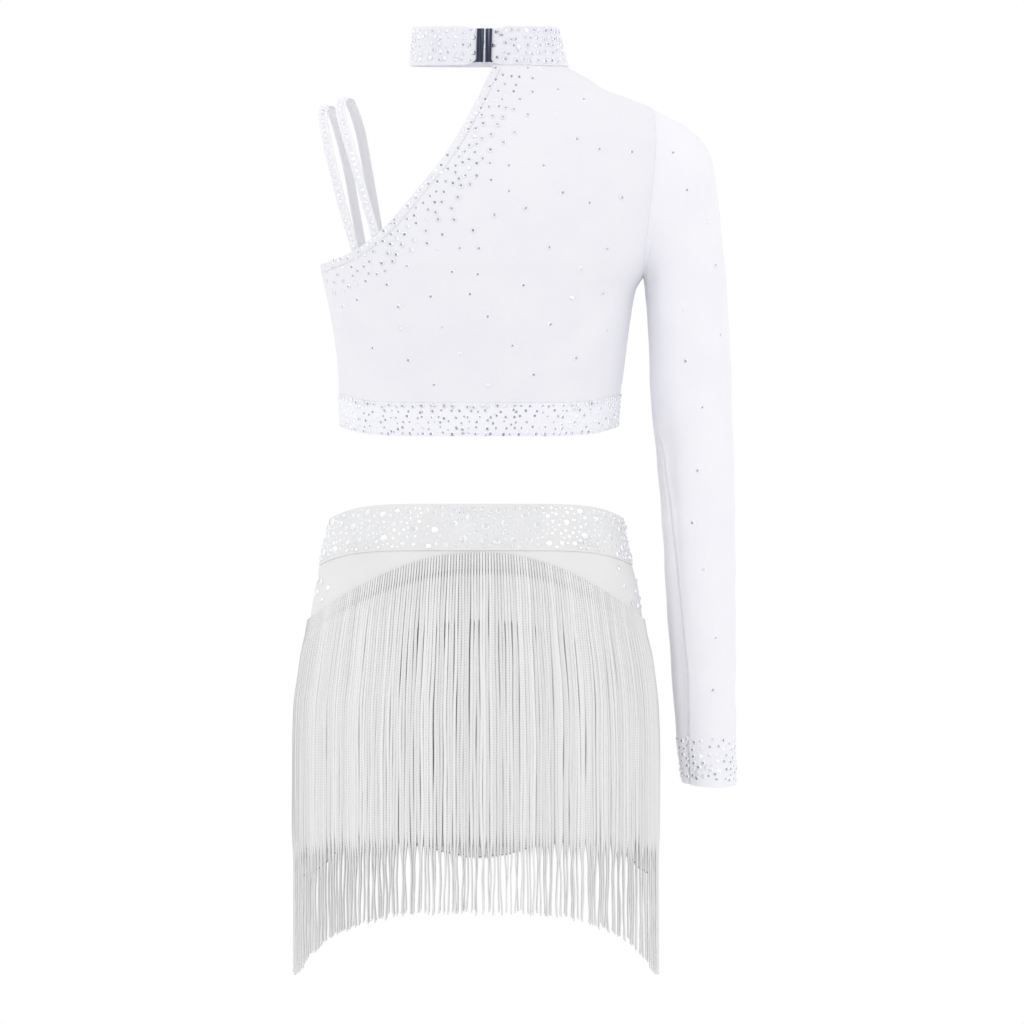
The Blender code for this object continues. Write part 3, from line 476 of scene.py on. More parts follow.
def skin(form, turns, heights, out, hang=False):
    """Points that lie that far outside the body form."""
    normals = form_normals(form, turns, heights, hang)
    return form_points(form, turns, heights, hang) + np.asarray(out)[..., None] * normals


def turns_at(form, x, heights, front=False):
    """The turns at which the form has that x at those heights, on its back or its front half."""
    x, heights = np.broadcast_arrays(np.asarray(x, float), np.asarray(heights, float))
    left, right = (smooth_values(form, column, heights) for column in (LEFT, RIGHT))
    share = np.minimum(1.0, np.abs(x) / np.where(x > 0, right, left))
    turns = np.degrees(np.arccos(np.copysign(share ** (ROUNDNESS / 2), x)))
    return 360 - turns if front else turns


def edge_heights(side_height, rise, flatness, turns):
    """The height of an edge that rises from the side seams to the centre back and front."""
    return side_height + rise * (1 - np.abs(np.cos(np.radians(turns))) ** flatness)


def hem_heights(turns):
    """The height of the top's lower edge. Only its back dips."""
    dip = np.where(np.sin(np.radians(turns)) > 0, HEM_BACK_DIP, 0.0)
    return edge_heights(HEM_SIDE_HEIGHT, -dip, HEM_FLATNESS, turns)


def waist_heights(turns):
    return edge_heights(WAIST_SIDE_HEIGHT, WAIST_RISE, WAIST_FLATNESS, turns)


def waistband_foot(turns):
    return waist_heights(turns) - WAISTBAND_TALL


def fringe_heights(turns):
    """The height of the fringe header's upper edge."""
    return edge_heights(FRINGE_SIDE_HEIGHT, FRINGE_RISE, FRINGE_FLATNESS, turns)


def fringe_foot_heights(turns):
    """The height at which the cords are cut off."""
    from_seam = np.degrees(np.arcsin(np.abs(np.sin(np.radians(turns)))))
    return smooth_values(FRINGE_FOOT, 1, from_seam)


def leg_hem_heights(turns):
    x = np.abs(form_points(HIPS, turns, LEG_HEM[-1][1])[..., 0])
    return smooth_values(LEG_HEM, 1, x)


def armhole_xs(heights):
    return smooth_values(ARMHOLE, 1, heights)


def neckline_xs(heights):
    return smooth_values(NECKLINE, 0, heights, by=1)


def even_turns(form, height, pitch, first, last):
    """Turns from first to last at equal distances along a form, about a pitch apart."""
    trial = np.linspace(first, last, 2 * TRIAL_STEPS + 1)
    run = run_lengths(form_points(form, trial, height))
    count = max(2, int(round(run[-1] / pitch)) + 1)
    return np.interp(np.linspace(0, run[-1], count), run, trial)


def run_lengths(points):
    """Distances along a row of points from its first one."""
    steps = np.linalg.norm(np.diff(points, axis=0), axis=1)
    return np.concatenate(([0.0], np.cumsum(steps)))


def creased(points, creases):
    """How far soft creases raise each point. A crease is a line seen from the back or the front."""
    raised = np.zeros(points.shape[:-1])
    for from_x, from_height, to_x, to_height, half_width, rise in creases:
        start, run = np.array((from_x, from_height)), np.array((to_x - from_x, to_height - from_height))
        offset = points[..., (0, 2)] - start
        share = np.clip(offset @ run / (run @ run), 0, 1)
        apart = np.linalg.norm(offset - share[..., None] * run, axis=-1)
        fade = np.sin(np.pi * np.clip(share * 0.92 + 0.04, 0, 1)) ** 0.7
        raised += rise * fade * np.exp(-((apart / half_width) ** 2))
    return raised


def unevenness(points, size, seed):
    """A slow, shallow unevenness of worn cloth, from a few crossed waves."""
    chance = np.random.default_rng(seed)
    total = np.zeros(points.shape[:-1])
    for _ in range(7):
        way = unit(chance.normal(size=3))
        length = chance.uniform(0.035, 0.085)
        total += np.sin(points @ way * (2 * math.pi / length) + chance.uniform(0, 2 * math.pi))
    return total * size / 7


def wall_mesh(name, outer, inner, closed=False, marks=None):
    """A closed cloth wall between a grid of points on its outer side and one on its inner side.

    Its UV map is in metres along the grid. Marks are values for each outer point, kept by name.
    """
    rows, columns = outer.shape[:2]
    wide = columns + 1 if closed else columns
    number = np.arange(rows * columns).reshape(rows, columns)
    ring = outer
    if closed:
        number = np.concatenate((number, number[:, :1]), axis=1)
        ring = np.concatenate((outer, outer[:, :1]), axis=1)
    across, up = run_lengths(ring[rows // 2]), run_lengths(ring[:, columns // 2])
    places = np.stack(np.broadcast_arrays(across[None, :], up[:, None]), -1).reshape(-1, 2)
    vertex_of = np.concatenate((number.ravel(), number.ravel() + rows * columns))
    place_of = np.concatenate((places, places))
    o = np.arange(rows * wide).reshape(rows, wide)
    n = o + rows * wide

    def quads(a, b, c, d):
        return np.stack((a, b, c, d), -1).reshape(-1, 4)

    faces = [
        quads(o[:-1, :-1], o[:-1, 1:], o[1:, 1:], o[1:, :-1]),
        quads(n[:-1, 1:], n[:-1, :-1], n[1:, :-1], n[1:, 1:]),
        quads(n[0, :-1], n[0, 1:], o[0, 1:], o[0, :-1]),
        quads(o[-1, :-1], o[-1, 1:], n[-1, 1:], n[-1, :-1]),
    ]
    if not closed:
        faces.append(quads(n[:-1, 0], o[:-1, 0], o[1:, 0], n[1:, 0]))
        faces.append(quads(o[:-1, -1], n[:-1, -1], n[1:, -1], o[1:, -1]))
    corners = np.concatenate(faces)
    mesh = bpy.data.meshes.new(name)
    points = np.concatenate((outer.reshape(-1, 3), inner.reshape(-1, 3)))
    mesh.from_pydata(points.tolist(), [], vertex_of[corners].tolist())
    layer = mesh.uv_layers.new(name="cloth")
    layer.data.foreach_set("uv", place_of[corners].astype(np.float32).ravel())
    for mark, values in (marks or {}).items():
        kept = mesh.attributes.new(mark, "FLOAT", "POINT")
        kept.data.foreach_set("value", np.concatenate((values.ravel(), values.ravel())).astype(np.float32))
    mesh.shade_smooth()
    mesh.set_sharp_from_angle(angle=SHARP_ANGLE)
    return mesh


def placed(name, mesh, material, replaced=()):
    """A finished piece in the scene, riding on the costume."""
    piece = bpy.data.objects.new(name, mesh)
    bpy.context.scene.collection.objects.link(piece)
    if material:
        mesh.materials.clear()
        mesh.materials.append(material)
    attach(piece, "root")
    if replaced:
        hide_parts(*replaced)
    return piece


def flat_size(outer):
    """The width, length and area of the flat piece of cloth that a grid of points was cut from."""
    spans = np.linalg.norm(np.diff(outer, axis=1), axis=2)
    falls = np.linalg.norm(np.diff(outer, axis=0), axis=2)
    a = outer[1:, :-1] - outer[:-1, :-1]
    b = outer[:-1, 1:] - outer[:-1, :-1]
    c = outer[1:, :-1] - outer[1:, 1:]
    d = outer[:-1, 1:] - outer[1:, 1:]
    area = (np.linalg.norm(np.cross(a, b), axis=-1) + np.linalg.norm(np.cross(c, d), axis=-1)).sum() / 2
    return float(spans.sum(axis=1).max()), float(falls.sum(axis=0).max()), float(area)


def cloth_piece(name, outer, inner, material, node, closed=False, marks=None):
    """A wall of cloth in its solid's place. The size of the flat piece that it was cut from is worked out but
    not used.
    """
    piece = placed(name, wall_mesh(name, outer, inner, closed, marks), material, (node,))
    if closed:
        outer = np.concatenate((outer, outer[:, :1]), axis=1)
    wide, tall, area = flat_size(outer)
    wide, tall = max(wide, LEAST_CUT), max(tall, LEAST_CUT)


def new_material(name, colour, roughness, metallic=0.0):
    """A Principled BSDF material. Returns it with its node tree and its shader."""
    material = bpy.data.materials.new(name)
    material.use_nodes = True
    tree = material.node_tree
    shader = tree.nodes["Principled BSDF"]
    shader.inputs["Base Color"].default_value = linear(colour)
    shader.inputs["Roughness"].default_value = roughness
    shader.inputs["Metallic"].default_value = metallic
    return material, tree, shader


def maths(tree, operation, *values):
    """The result of one operation on one or two values."""
    return add(tree, "ShaderNodeMath", dict(enumerate(values)), operation=operation).outputs[0]


def marked(tree, name):
    """The value that a mesh keeps under that name."""
    return add(tree, "ShaderNodeAttribute", attribute_name=name).outputs["Fac"]


def noise(tree, place, scale, detail=2.0):
    return add(tree, "ShaderNodeTexNoise", {"Vector": place, "Scale": scale, "Detail": detail}).outputs["Fac"]


def spanned(tree, value, low, high, most, **settings):
    """How far a value has come from low to high, as a share of the most."""
    inputs = {"Value": value, "From Min": low, "From Max": high, "To Min": 0.0, "To Max": most}
    return add(tree, "ShaderNodeMapRange", inputs, **settings).outputs[0]


def raise_surface(tree, shader, height, strength, distance):
    """Adds a bump to the shader, over any bump that it has."""
    inputs = {"Strength": strength, "Distance": distance, "Height": height}
    for link in shader.inputs["Normal"].links:
        inputs["Normal"] = link.from_socket
    tree.links.new(add(tree, "ShaderNodeBump", inputs).outputs[0], shader.inputs["Normal"])


def blend_colours(tree, shader, amount, first, second):
    """Feeds the shader's base colour with a blend. Each colour is a hex string or a socket."""
    mixed = add(tree, "ShaderNodeMix", {"Factor": amount}, data_type="RGBA")
    for socket, colour in zip([s for s in mixed.inputs if s.type == "RGBA"], (first, second)):
        if isinstance(colour, str):
            socket.default_value = linear(colour)
        else:
            tree.links.new(colour, socket)
    blend = next(s for s in mixed.outputs if s.type == "RGBA")
    tree.links.new(blend, shader.inputs["Base Color"])
    return blend


def knit(name, colour, shade, roughness, sheen, gloss, through=0.0):
    """Stretch knit: fine upright wales, a soft nap and slow unevenness.

    Real wales are 0.4 mm apart, finer than the photograph shows, so they are drawn at 1.1 mm. That
    leaves the cloth smooth from afar, with a faint upright grain close by.
    """
    material, tree, shader = new_material(name, colour, roughness)
    for socket, value in (
        ("Sheen Weight", sheen), ("Sheen Roughness", 0.45), ("Specular IOR Level", gloss),
        ("Subsurface Weight", through), ("Subsurface Radius", (1.0, 1.0, 1.0)), ("Subsurface Scale", 0.003),
    ):
        shader.inputs[socket].default_value = value
    place = add(tree, "ShaderNodeUVMap", uv_map="cloth").outputs[0]
    wales, courses = (
        add(tree, "ShaderNodeTexWave", {
            "Vector": place, "Scale": scale, "Distortion": distortion, "Detail": 1.0, "Detail Scale": 2.0,
        }, bands_direction=way).outputs["Fac"]
        for scale, distortion, way in ((145.0, 0.8, "X"), (110.0, 1.2, "Y"))
    )
    body = add(tree, "ShaderNodeTexCoord").outputs["Object"]
    blend_colours(tree, shader, spanned(tree, noise(tree, body, 26.0, 3.0), 0.35, 0.65, 0.55), colour, shade)
    raise_surface(tree, shader, noise(tree, body, 900.0), 0.10, 0.0003)
    raise_surface(tree, shader, maths(tree, "MULTIPLY", wales, courses), 0.09, 0.0003)
    return material


def hem_groove(material, attribute, distance):
    """Adds a shallow pressed line to a knit, where the turned hem behind it ends."""
    tree = material.node_tree
    apart = maths(tree, "ABSOLUTE", maths(tree, "SUBTRACT", marked(tree, attribute), distance))
    depth = spanned(tree, apart, 0.0, 0.0012, 1.0, interpolation_type="SMOOTHSTEP")
    raise_surface(tree, tree.nodes["Principled BSDF"], depth, 0.5, 0.0008)


def cord_silk(name):
    """Chainette cord of shiny viscose: a tiny knitted tube. Its chain links are drawn 2.4 mm long.

    The tube's sides turn away from the light between its neighbours; that shade is painted into the colour,
    greyer towards each cord's edges. Painted shade also darkens the chain links' grooves, and some cords more
    than others, less so at the sides.
    """
    material, tree, shader = new_material(name, "f1f1f1", 0.45)
    chance = marked(tree, "chance")
    turned = maths(tree, "MULTIPLY", marked(tree, "along"), 2600.0)
    links = maths(tree, "SINE", maths(tree, "ADD", turned, maths(tree, "MULTIPLY", chance, 40.0)))
    raise_surface(tree, shader, links, 0.25, 0.0003)
    # Painted shade: darker in the chain links' grooves, and by each cord's own amount of shade
    shade = maths(tree, "ADD", spanned(tree, links, -1.0, 1.0, 0.30), spanned(tree, chance, 0.0, 1.0, 0.65))
    plain = blend_colours(tree, shader, shade, CORD_WHITE, CORD_SHADE)
    # Painted shade towards each cord's edges, where its surface turns away from the camera
    side = add(tree, "ShaderNodeLayerWeight", {"Blend": 0.5}).outputs["Facing"]
    blend_colours(tree, shader, spanned(tree, side, 0.35, 0.95, 1.0), plain, CORD_EDGE_SHADE)
    return material


def crystal(name):
    """Foil-backed cut glass: the foil mirrors what each facet faces, so it is close to a metal.

    The slanted facets throw back the bright sides of the room. The flat table has a painted dark reflection,
    painted darker in some stones than in others.
    """
    material, tree, shader = new_material(name, "f6f8fd", 0.09, 0.85)
    shader.inputs["Coat Weight"].default_value = 0.5
    shader.inputs["Coat Roughness"].default_value = 0.03
    # Painted reflection: the tables of stones marked dark are painted grey
    amount = maths(tree, "MULTIPLY", marked(tree, "table"), marked(tree, "dark"))
    blend_colours(tree, shader, amount, "f6f8fd", "9aa0ac")
    return material


def blued_metal(name):
    """Dark blued steel, brushed lengthwise: streaks run up and down, with paler rubbed ones."""
    material, tree, shader = new_material(name, "2c3145", 0.34, 0.55)
    place = add(tree, "ShaderNodeTexCoord").outputs["Object"]
    brushed = add(tree, "ShaderNodeMapping", {"Vector": place, "Scale": (1100.0, 0.0, 12.0)}).outputs[0]
    streaks = noise(tree, brushed, 1.0)
    ramp = add(tree, "ShaderNodeValToRGB", {"Fac": streaks})
    stops = ramp.color_ramp.elements
    stops[0].position, stops[0].color = 0.38, linear("20243a")
    stops[1].position, stops[1].color = 0.70, linear("8d93a8")
    middle = stops.new(0.56)
    middle.color = linear("3a4056")
    tree.links.new(ramp.outputs["Color"], shader.inputs["Base Color"])
    raise_surface(tree, shader, streaks, 0.25, 0.0002)
    return material


def thread(name, colour):
    """Sewing thread: spun polyester, so it is matt, with a twist too fine to draw."""
    material, tree, shader = new_material(name, colour, 0.7)
    place = add(tree, "ShaderNodeTexCoord").outputs["Object"]
    raise_surface(tree, shader, noise(tree, place, 1500.0), 0.3, 0.0002)
    return material


def new_tree(name, **sizes):
    """A Geometry Nodes tree with a Geometry input and output, and an input for each size."""
    tree = bpy.data.node_groups.new(name, "GeometryNodeTree")
    tree.interface.new_socket("Geometry", in_out="INPUT", socket_type="NodeSocketGeometry")
    tree.interface.new_socket("Geometry", in_out="OUTPUT", socket_type="NodeSocketGeometry")
    for size, default in sizes.items():
        socket = tree.interface.new_socket(size, in_out="INPUT", socket_type="NodeSocketFloat")
        socket.default_value = default
    return tree, add(tree, "NodeGroupInput"), add(tree, "NodeGroupOutput")


def named(tree, name, kind="FLOAT"):
    """The attribute that the seeds carry under that name."""
    return add(tree, "GeometryNodeInputNamedAttribute", {"Name": name}, data_type=kind).outputs["Attribute"]


def set_on_points(tree, points, shape, rotation, scale):
    return add(tree, "GeometryNodeInstanceOnPoints", {
        "Points": points, "Instance": shape, "Rotation": rotation, "Scale": scale,
    }).outputs[0]


def upright(tree, way):
    """The rotation that turns a shape's Z axis that way."""
    return add(tree, "FunctionNodeAlignRotationToVector", {"Vector": way}, axis="Z").outputs[0]


def stones_tree():
    """Sets a cut stone on each point: a flat table and a ring of eight facets down to the girdle."""
    tree, given, out = new_tree("stones", table_share=0.5, height_share=0.36)
    cut = add(tree, "GeometryNodeMeshCone", {
        "Vertices": 8, "Radius Top": given.outputs["table_share"], "Radius Bottom": 1.0,
        "Depth": given.outputs["height_share"],
    })
    kept = {"Geometry": cut.outputs["Mesh"], "Name": "table", "Value": cut.outputs["Top"]}
    stone = add(tree, "GeometryNodeStoreNamedAttribute", kept, data_type="FLOAT", domain="FACE").outputs[0]
    about = add(tree, "FunctionNodeAxisAngleToRotation", {"Axis": (0, 0, 1), "Angle": named(tree, "spin")})
    turned = add(tree, "FunctionNodeRotateRotation", {
        "Rotation": upright(tree, named(tree, "facing", "FLOAT_VECTOR")), "Rotate By": about.outputs[0],
    }, rotation_space="LOCAL").outputs[0]
    return tree, out, set_on_points(tree, given.outputs["Geometry"], stone, turned, named(tree, "size"))


def stitches_tree():
    """Sets short thread stitches along each line of points."""
    tree, given, out = new_tree("stitches", pitch=0.003, length=0.002, thickness=0.0005)
    line = add(tree, "GeometryNodeMeshToCurve", {"Mesh": given.outputs["Geometry"]}).outputs[0]
    apart = {"Curve": line, "Length": given.outputs["pitch"]}
    spaced = add(tree, "GeometryNodeCurveToPoints", apart, mode="LENGTH")
    bead = add(tree, "GeometryNodeMeshUVSphere", {"Segments": 6, "Rings": 4, "Radius": 0.5}).outputs["Mesh"]
    thick = given.outputs["thickness"]
    long_bead = {"X": thick, "Y": thick, "Z": given.outputs["length"]}
    scale = add(tree, "ShaderNodeCombineXYZ", long_bead).outputs[0]
    way = upright(tree, spaced.outputs["Tangent"])
    return tree, out, set_on_points(tree, spaced.outputs["Points"], bead, way, scale)


def cords_tree():
    """Sweeps a cord along each line of points. The thick attribute makes knots and thin places."""
    tree, given, out = new_tree("cords", radius=0.0007)
    line = add(tree, "GeometryNodeMeshToCurve", {"Mesh": given.outputs["Geometry"]}).outputs[0]
    run = add(tree, "GeometryNodeSplineParameter").outputs["Length"]
    kept = {"Geometry": line, "Name": "along", "Value": run}
    path = add(tree, "GeometryNodeStoreNamedAttribute", kept, data_type="FLOAT", domain="POINT").outputs[0]
    ring = add(tree, "GeometryNodeCurvePrimitiveCircle", {"Resolution": 5, "Radius": 1.0}).outputs["Curve"]
    swept = add(tree, "GeometryNodeCurveToMesh", {
        "Curve": path, "Profile Curve": ring, "Fill Caps": True,
        "Scale": maths(tree, "MULTIPLY", named(tree, "thick"), given.outputs["radius"]),
    })
    return tree, out, swept.outputs[0]


def baked(name, seeds, made_tree, material, sizes, smooth):
    """The plain mesh that a Geometry Nodes tree makes from a mesh of seeds."""
    tree, out, last = made_tree
    real = add(tree, "GeometryNodeRealizeInstances", {"Geometry": last})
    shaded = add(tree, "GeometryNodeSetShadeSmooth", {"Geometry": real.outputs[0], "Shade Smooth": smooth})
    painted = add(tree, "GeometryNodeSetMaterial", {"Geometry": shaded.outputs[0], "Material": material})
    tree.links.new(painted.outputs[0], out.inputs["Geometry"])
    carrier = bpy.data.objects.new(name + "_seeds", seeds)
    bpy.context.scene.collection.objects.link(carrier)
    maker = carrier.modifiers.new("maker", "NODES")
    maker.node_group = tree
    for item in tree.interface.items_tree:
        if item.item_type == "SOCKET" and item.in_out == "INPUT" and item.name in sizes:
            maker[item.identifier] = sizes[item.name]
    graph = bpy.context.evaluated_depsgraph_get()
    mesh = bpy.data.meshes.new_from_object(carrier.evaluated_get(graph))
    mesh.name = name
    bpy.data.objects.remove(carrier)
    return mesh


def seeds_of(points, edges=(), **marks):
    """A mesh of bare points, or of lines, that carries an attribute for each mark."""
    mesh = bpy.data.meshes.new("seeds")
    mesh.from_pydata(points.tolist(), list(edges), [])
    for mark, values in marks.items():
        kind, field = ("FLOAT_VECTOR", "vector") if values.ndim == 2 else ("FLOAT", "value")
        mesh.attributes.new(mark, kind, "POINT").data.foreach_set(field, values.astype(np.float32).ravel())
    return mesh


def set_stones(name, seats, material, seed):
    """One mesh of stones from seats: points, outward directions, sizes across and shares of tables painted
    dark.
    """
    chance = np.random.default_rng(seed)
    points, facing, sizes = (np.concatenate([seat[k] for seat in seats]) for k in range(3))
    shares = np.concatenate([np.broadcast_to(seat[3], len(seat[0])) for seat in seats])
    facing = unit(facing + chance.normal(scale=STONE_TILT, size=facing.shape))
    spin = chance.uniform(0, math.pi / 4, len(points))
    # Painted reflection: that share of stones gets a dark painted table, the rest a pale one
    dark = np.where(chance.uniform(size=len(points)) < shares, chance.uniform(0.65, 1.0, len(points)),
                    chance.uniform(0.0, 0.25, len(points)))
    seeds = seeds_of(points - facing * STONE_SET_IN, facing=facing, size=sizes / 2, spin=spin, dark=dark)
    placed(name, baked(name, seeds, stones_tree(), material, STONE_CUT, False), None)


def set_stitches(name, lines, material, sewn):
    """One mesh of stitches along several lines of points, sewn with that pitch, length and thickness."""
    edges, first = [], 0
    for line in lines:
        edges += [(first + i, first + i + 1) for i in range(len(line) - 1)]
        first += len(line)
    sizes = dict(zip(("pitch", "length", "thickness"), sewn))
    mesh = baked(name, seeds_of(np.concatenate(lines), edges), stitches_tree(), material, sizes, True)
    placed(name, mesh, None)


def neckline_line(count, inset=0.0):
    """The slanting neckline as that many (x, height) points, left end first."""
    levels = np.linspace(NECKLINE[0][1] + inset, NECKLINE[-1][1] - inset, count)
    return np.stack((neckline_xs(levels), levels), -1)


def moved_inside(line, inside):
    """A line of (x, height) points, moved that far to its right."""
    slope = unit(np.stack((np.gradient(line[:, 0]), np.gradient(line[:, 1])), -1))
    return line[:, 0] + slope[:, 1] * inside, line[:, 1] - slope[:, 0] * inside


def top_grid(front):
    """Turns and heights of the back or front of the top. Its rows run from the left edge to the right one."""
    foot = HEM_SIDE_HEIGHT + HEM_BAND_TALL + SEAM_GAP
    left_seam = np.linspace(foot, NECKLINE[0][1], 30)
    neckline = np.linspace(NECKLINE[0][1], COLLAR_BASE_HEIGHT, 90)[1:]
    right_seam = np.linspace(foot, UNDERARM_RIGHT_HEIGHT, 30)
    armhole = np.linspace(UNDERARM_RIGHT_HEIGHT, SHOULDER_POINT_HEIGHT, 60)[1:-1]
    shoulder = np.linspace(SHOULDER_POINT_HEIGHT, COLLAR_BASE_HEIGHT, 30)
    sides = (
        ((left_seam, np.full(30, 180.0)), (neckline, turns_at(TORSO, neckline_xs(neckline), neckline))),
        ((right_seam, np.zeros(30)), (armhole, turns_at(TORSO, armhole_xs(armhole), armhole)),
         (shoulder, np.zeros(30))),
    )
    shares = np.linspace(0, 1, TOP_CLOTH_ROWS + 1)
    edges = []
    for side in sides:
        edge = np.concatenate([np.stack((turns, heights), -1) for heights, turns in side])
        run = run_lengths(form_points(TORSO, edge[:, 0], edge[:, 1]))
        edges.append(np.stack([np.interp(shares * run[-1], run, column) for column in edge.T], -1))
    across = np.linspace(0, 1, TOP_CLOTH_COLUMNS + 1)[None, :]
    turns, heights = (
        edges[0][:, k:k + 1] * (1 - across) + edges[1][:, k:k + 1] * across for k in (0, 1)
    )
    if front:
        turns, heights = (360 - turns)[:, ::-1], heights[:, ::-1]
    fade = np.clip(1 - (heights - foot) / FOOT_FADE, 0, 1)
    own_foot = hem_heights(turns) + HEM_BAND_TALL + SEAM_GAP
    return turns, heights + (own_foot - foot) * fade


def edge_fade(distance, reach):
    """0 at an edge, rising softly to 1 at that reach from it."""
    share = np.clip(distance / reach, 0, 1)
    return share * share * (3 - 2 * share)


def distance_to_line(points, line):
    """The distance of each point, seen from the back, to a line of (x, height) points."""
    best = np.full(points.shape[:-1], 9.0)
    flat = points[..., (0, 2)]
    for a, b in zip(line, line[1:]):
        run = b - a
        share = np.clip((flat - a) @ run / (run @ run), 0, 1)
        best = np.minimum(best, np.linalg.norm(flat - a - share[..., None] * run, axis=-1))
    return best


def top_sides():
    """The top's outline beside its neckline, as (x, height): left seam, right seam, armhole, shoulder."""
    foot = HEM_SIDE_HEIGHT + HEM_BAND_TALL
    left = np.linspace(foot, NECKLINE[0][1], 12)
    seam = np.linspace(foot, UNDERARM_RIGHT_HEIGHT, 12)
    armhole = np.linspace(UNDERARM_RIGHT_HEIGHT, SHOULDER_POINT_HEIGHT, 16)[1:]
    shoulder = np.linspace(SHOULDER_POINT_HEIGHT, COLLAR_BASE_HEIGHT, 10)[1:]
    x = np.concatenate((-smooth_values(TORSO, LEFT, left)[::-1], smooth_values(TORSO, RIGHT, seam),
                        armhole_xs(armhole), smooth_values(TORSO, RIGHT, shoulder)))
    heights = np.concatenate((left[::-1], seam, armhole, shoulder))
    return np.stack((x, heights), -1)


def panel_walls(form, turns, heights, raised, front):
    """The outer and inner side of a back or front panel, a seam's gap away from the other panel."""
    shift = np.array((0, SEAM_GAP / 2 if front else -SEAM_GAP / 2, 0))
    return [skin(form, turns, heights, out) + shift for out in (raised, raised - CLOTH)]


def top_cloth(front, material):
    """The back or front of the top, with its creases, closed at its edges."""
    turns, heights = top_grid(front)
    flat = form_points(TORSO, turns, heights)
    from_neckline = distance_to_line(flat, neckline_line(40))
    edges = np.minimum.reduce([from_neckline, heights - heights[:1], distance_to_line(flat, top_sides())])
    creases = FRONT_CREASES if front else BACK_CREASES
    raised = creased(flat, creases) + unevenness(flat, TOP_UNEVEN, 4 if front else 3)
    raised *= edge_fade(edges, TOP_EDGE_FADE)
    outer, inner = panel_walls(TORSO, turns, heights, raised, front)
    node = "top_front" if front else "top_back"
    marks = {"from_neckline": from_neckline}
    cloth_piece(node + "_cloth", outer, inner, material, node, marks=marks)


def band_cloth(form, low_edge, tall, proud, material, node, roll, soft_top=0.0):
    """A closed band round the body, slightly rounded between its two stitched edges."""
    turns = np.linspace(180, -180, BAND_COLUMNS + 1)[:-1]
    shares = np.linspace(0, 1, max(6, round(tall / CELL)) + 1)
    heights = low_edge(turns)[None, :] + tall * shares[:, None]
    turns = np.broadcast_to(turns, heights.shape)
    flat = form_points(form, turns, heights)
    swell = roll * (4 * shares * (1 - shares))[:, None]
    eased = 1 - soft_top * (1 - edge_fade((1 - shares) * tall, 0.006))[:, None]
    uneven = unevenness(flat, BAND_UNEVEN, 8) * edge_fade(shares * (1 - shares), 0.1)[:, None]
    raised = proud * eased + swell + uneven
    outer = skin(form, turns, heights, raised)
    inner = skin(form, turns, heights, raised - CLOTH - BAND_LINING)
    cloth_piece(node + "_cloth", outer, inner, material, node, closed=True)


def collar_places():
    """Turns and heights of the collar, from the eye round by the front to the hook."""
    pinch = (CLASP_TALL - COLLAR_TALL) / 2
    foot = COLLAR_BASE_HEIGHT + SEAM_GAP
    turns, heights = [], []
    for share in np.linspace(0, 1, 10):
        ends = foot + COLLAR_TALL * share - pinch * (1 - 2 * share)
        eye = turns_at(NECK, EYE_TO_X + SEAM_GAP, ends)
        hook = turns_at(NECK, HOOK_FROM_X - SEAM_GAP, ends) - 360
        line = np.linspace(eye, hook, COLLAR_COLUMNS + 1)
        near = np.clip(1 - np.minimum(eye - line, line - hook) / PINCH_TURN, 0, 1)
        turns.append(line)
        heights.append(foot + COLLAR_TALL * share + (ends - foot - COLLAR_TALL * share) * near)
    return np.array(turns), np.array(heights)


def collar_cloth(material):
    """The collar band, with the one small fold that it has at its right back."""
    turns, heights = collar_places()
    flat = form_points(NECK, turns, heights)
    middle = COLLAR_BASE_HEIGHT + SEAM_GAP + COLLAR_TALL / 2
    right_back = np.exp(-(((flat[..., 0] - COLLAR_FOLD_X) / COLLAR_FOLD_HALF) ** 2)) * (flat[..., 1] < 0)
    fold = -COLLAR_FOLD_DEEP * right_back * np.exp(-(((heights - middle) / COLLAR_FOLD_TALL) ** 2))
    raised = COLLAR_PROUD + fold + unevenness(flat, COLLAR_UNEVEN, 12)
    outer = skin(NECK, turns, heights, raised)
    inner = skin(NECK, turns, heights, raised - CLOTH - COLLAR_LINING)
    cloth_piece("collar_cloth", outer, inner, material, "collar")


def sleeve_angles():
    """Angles round the sleeve from the underarm by way of the back, closer together beside its seam."""
    first, last, step = SLEEVE_FINE_TURNS
    even = np.arange(SLEEVE_AROUND) * 360 / SLEEVE_AROUND
    return np.concatenate((even[even < first], np.arange(first, last, step), even[even >= last]))


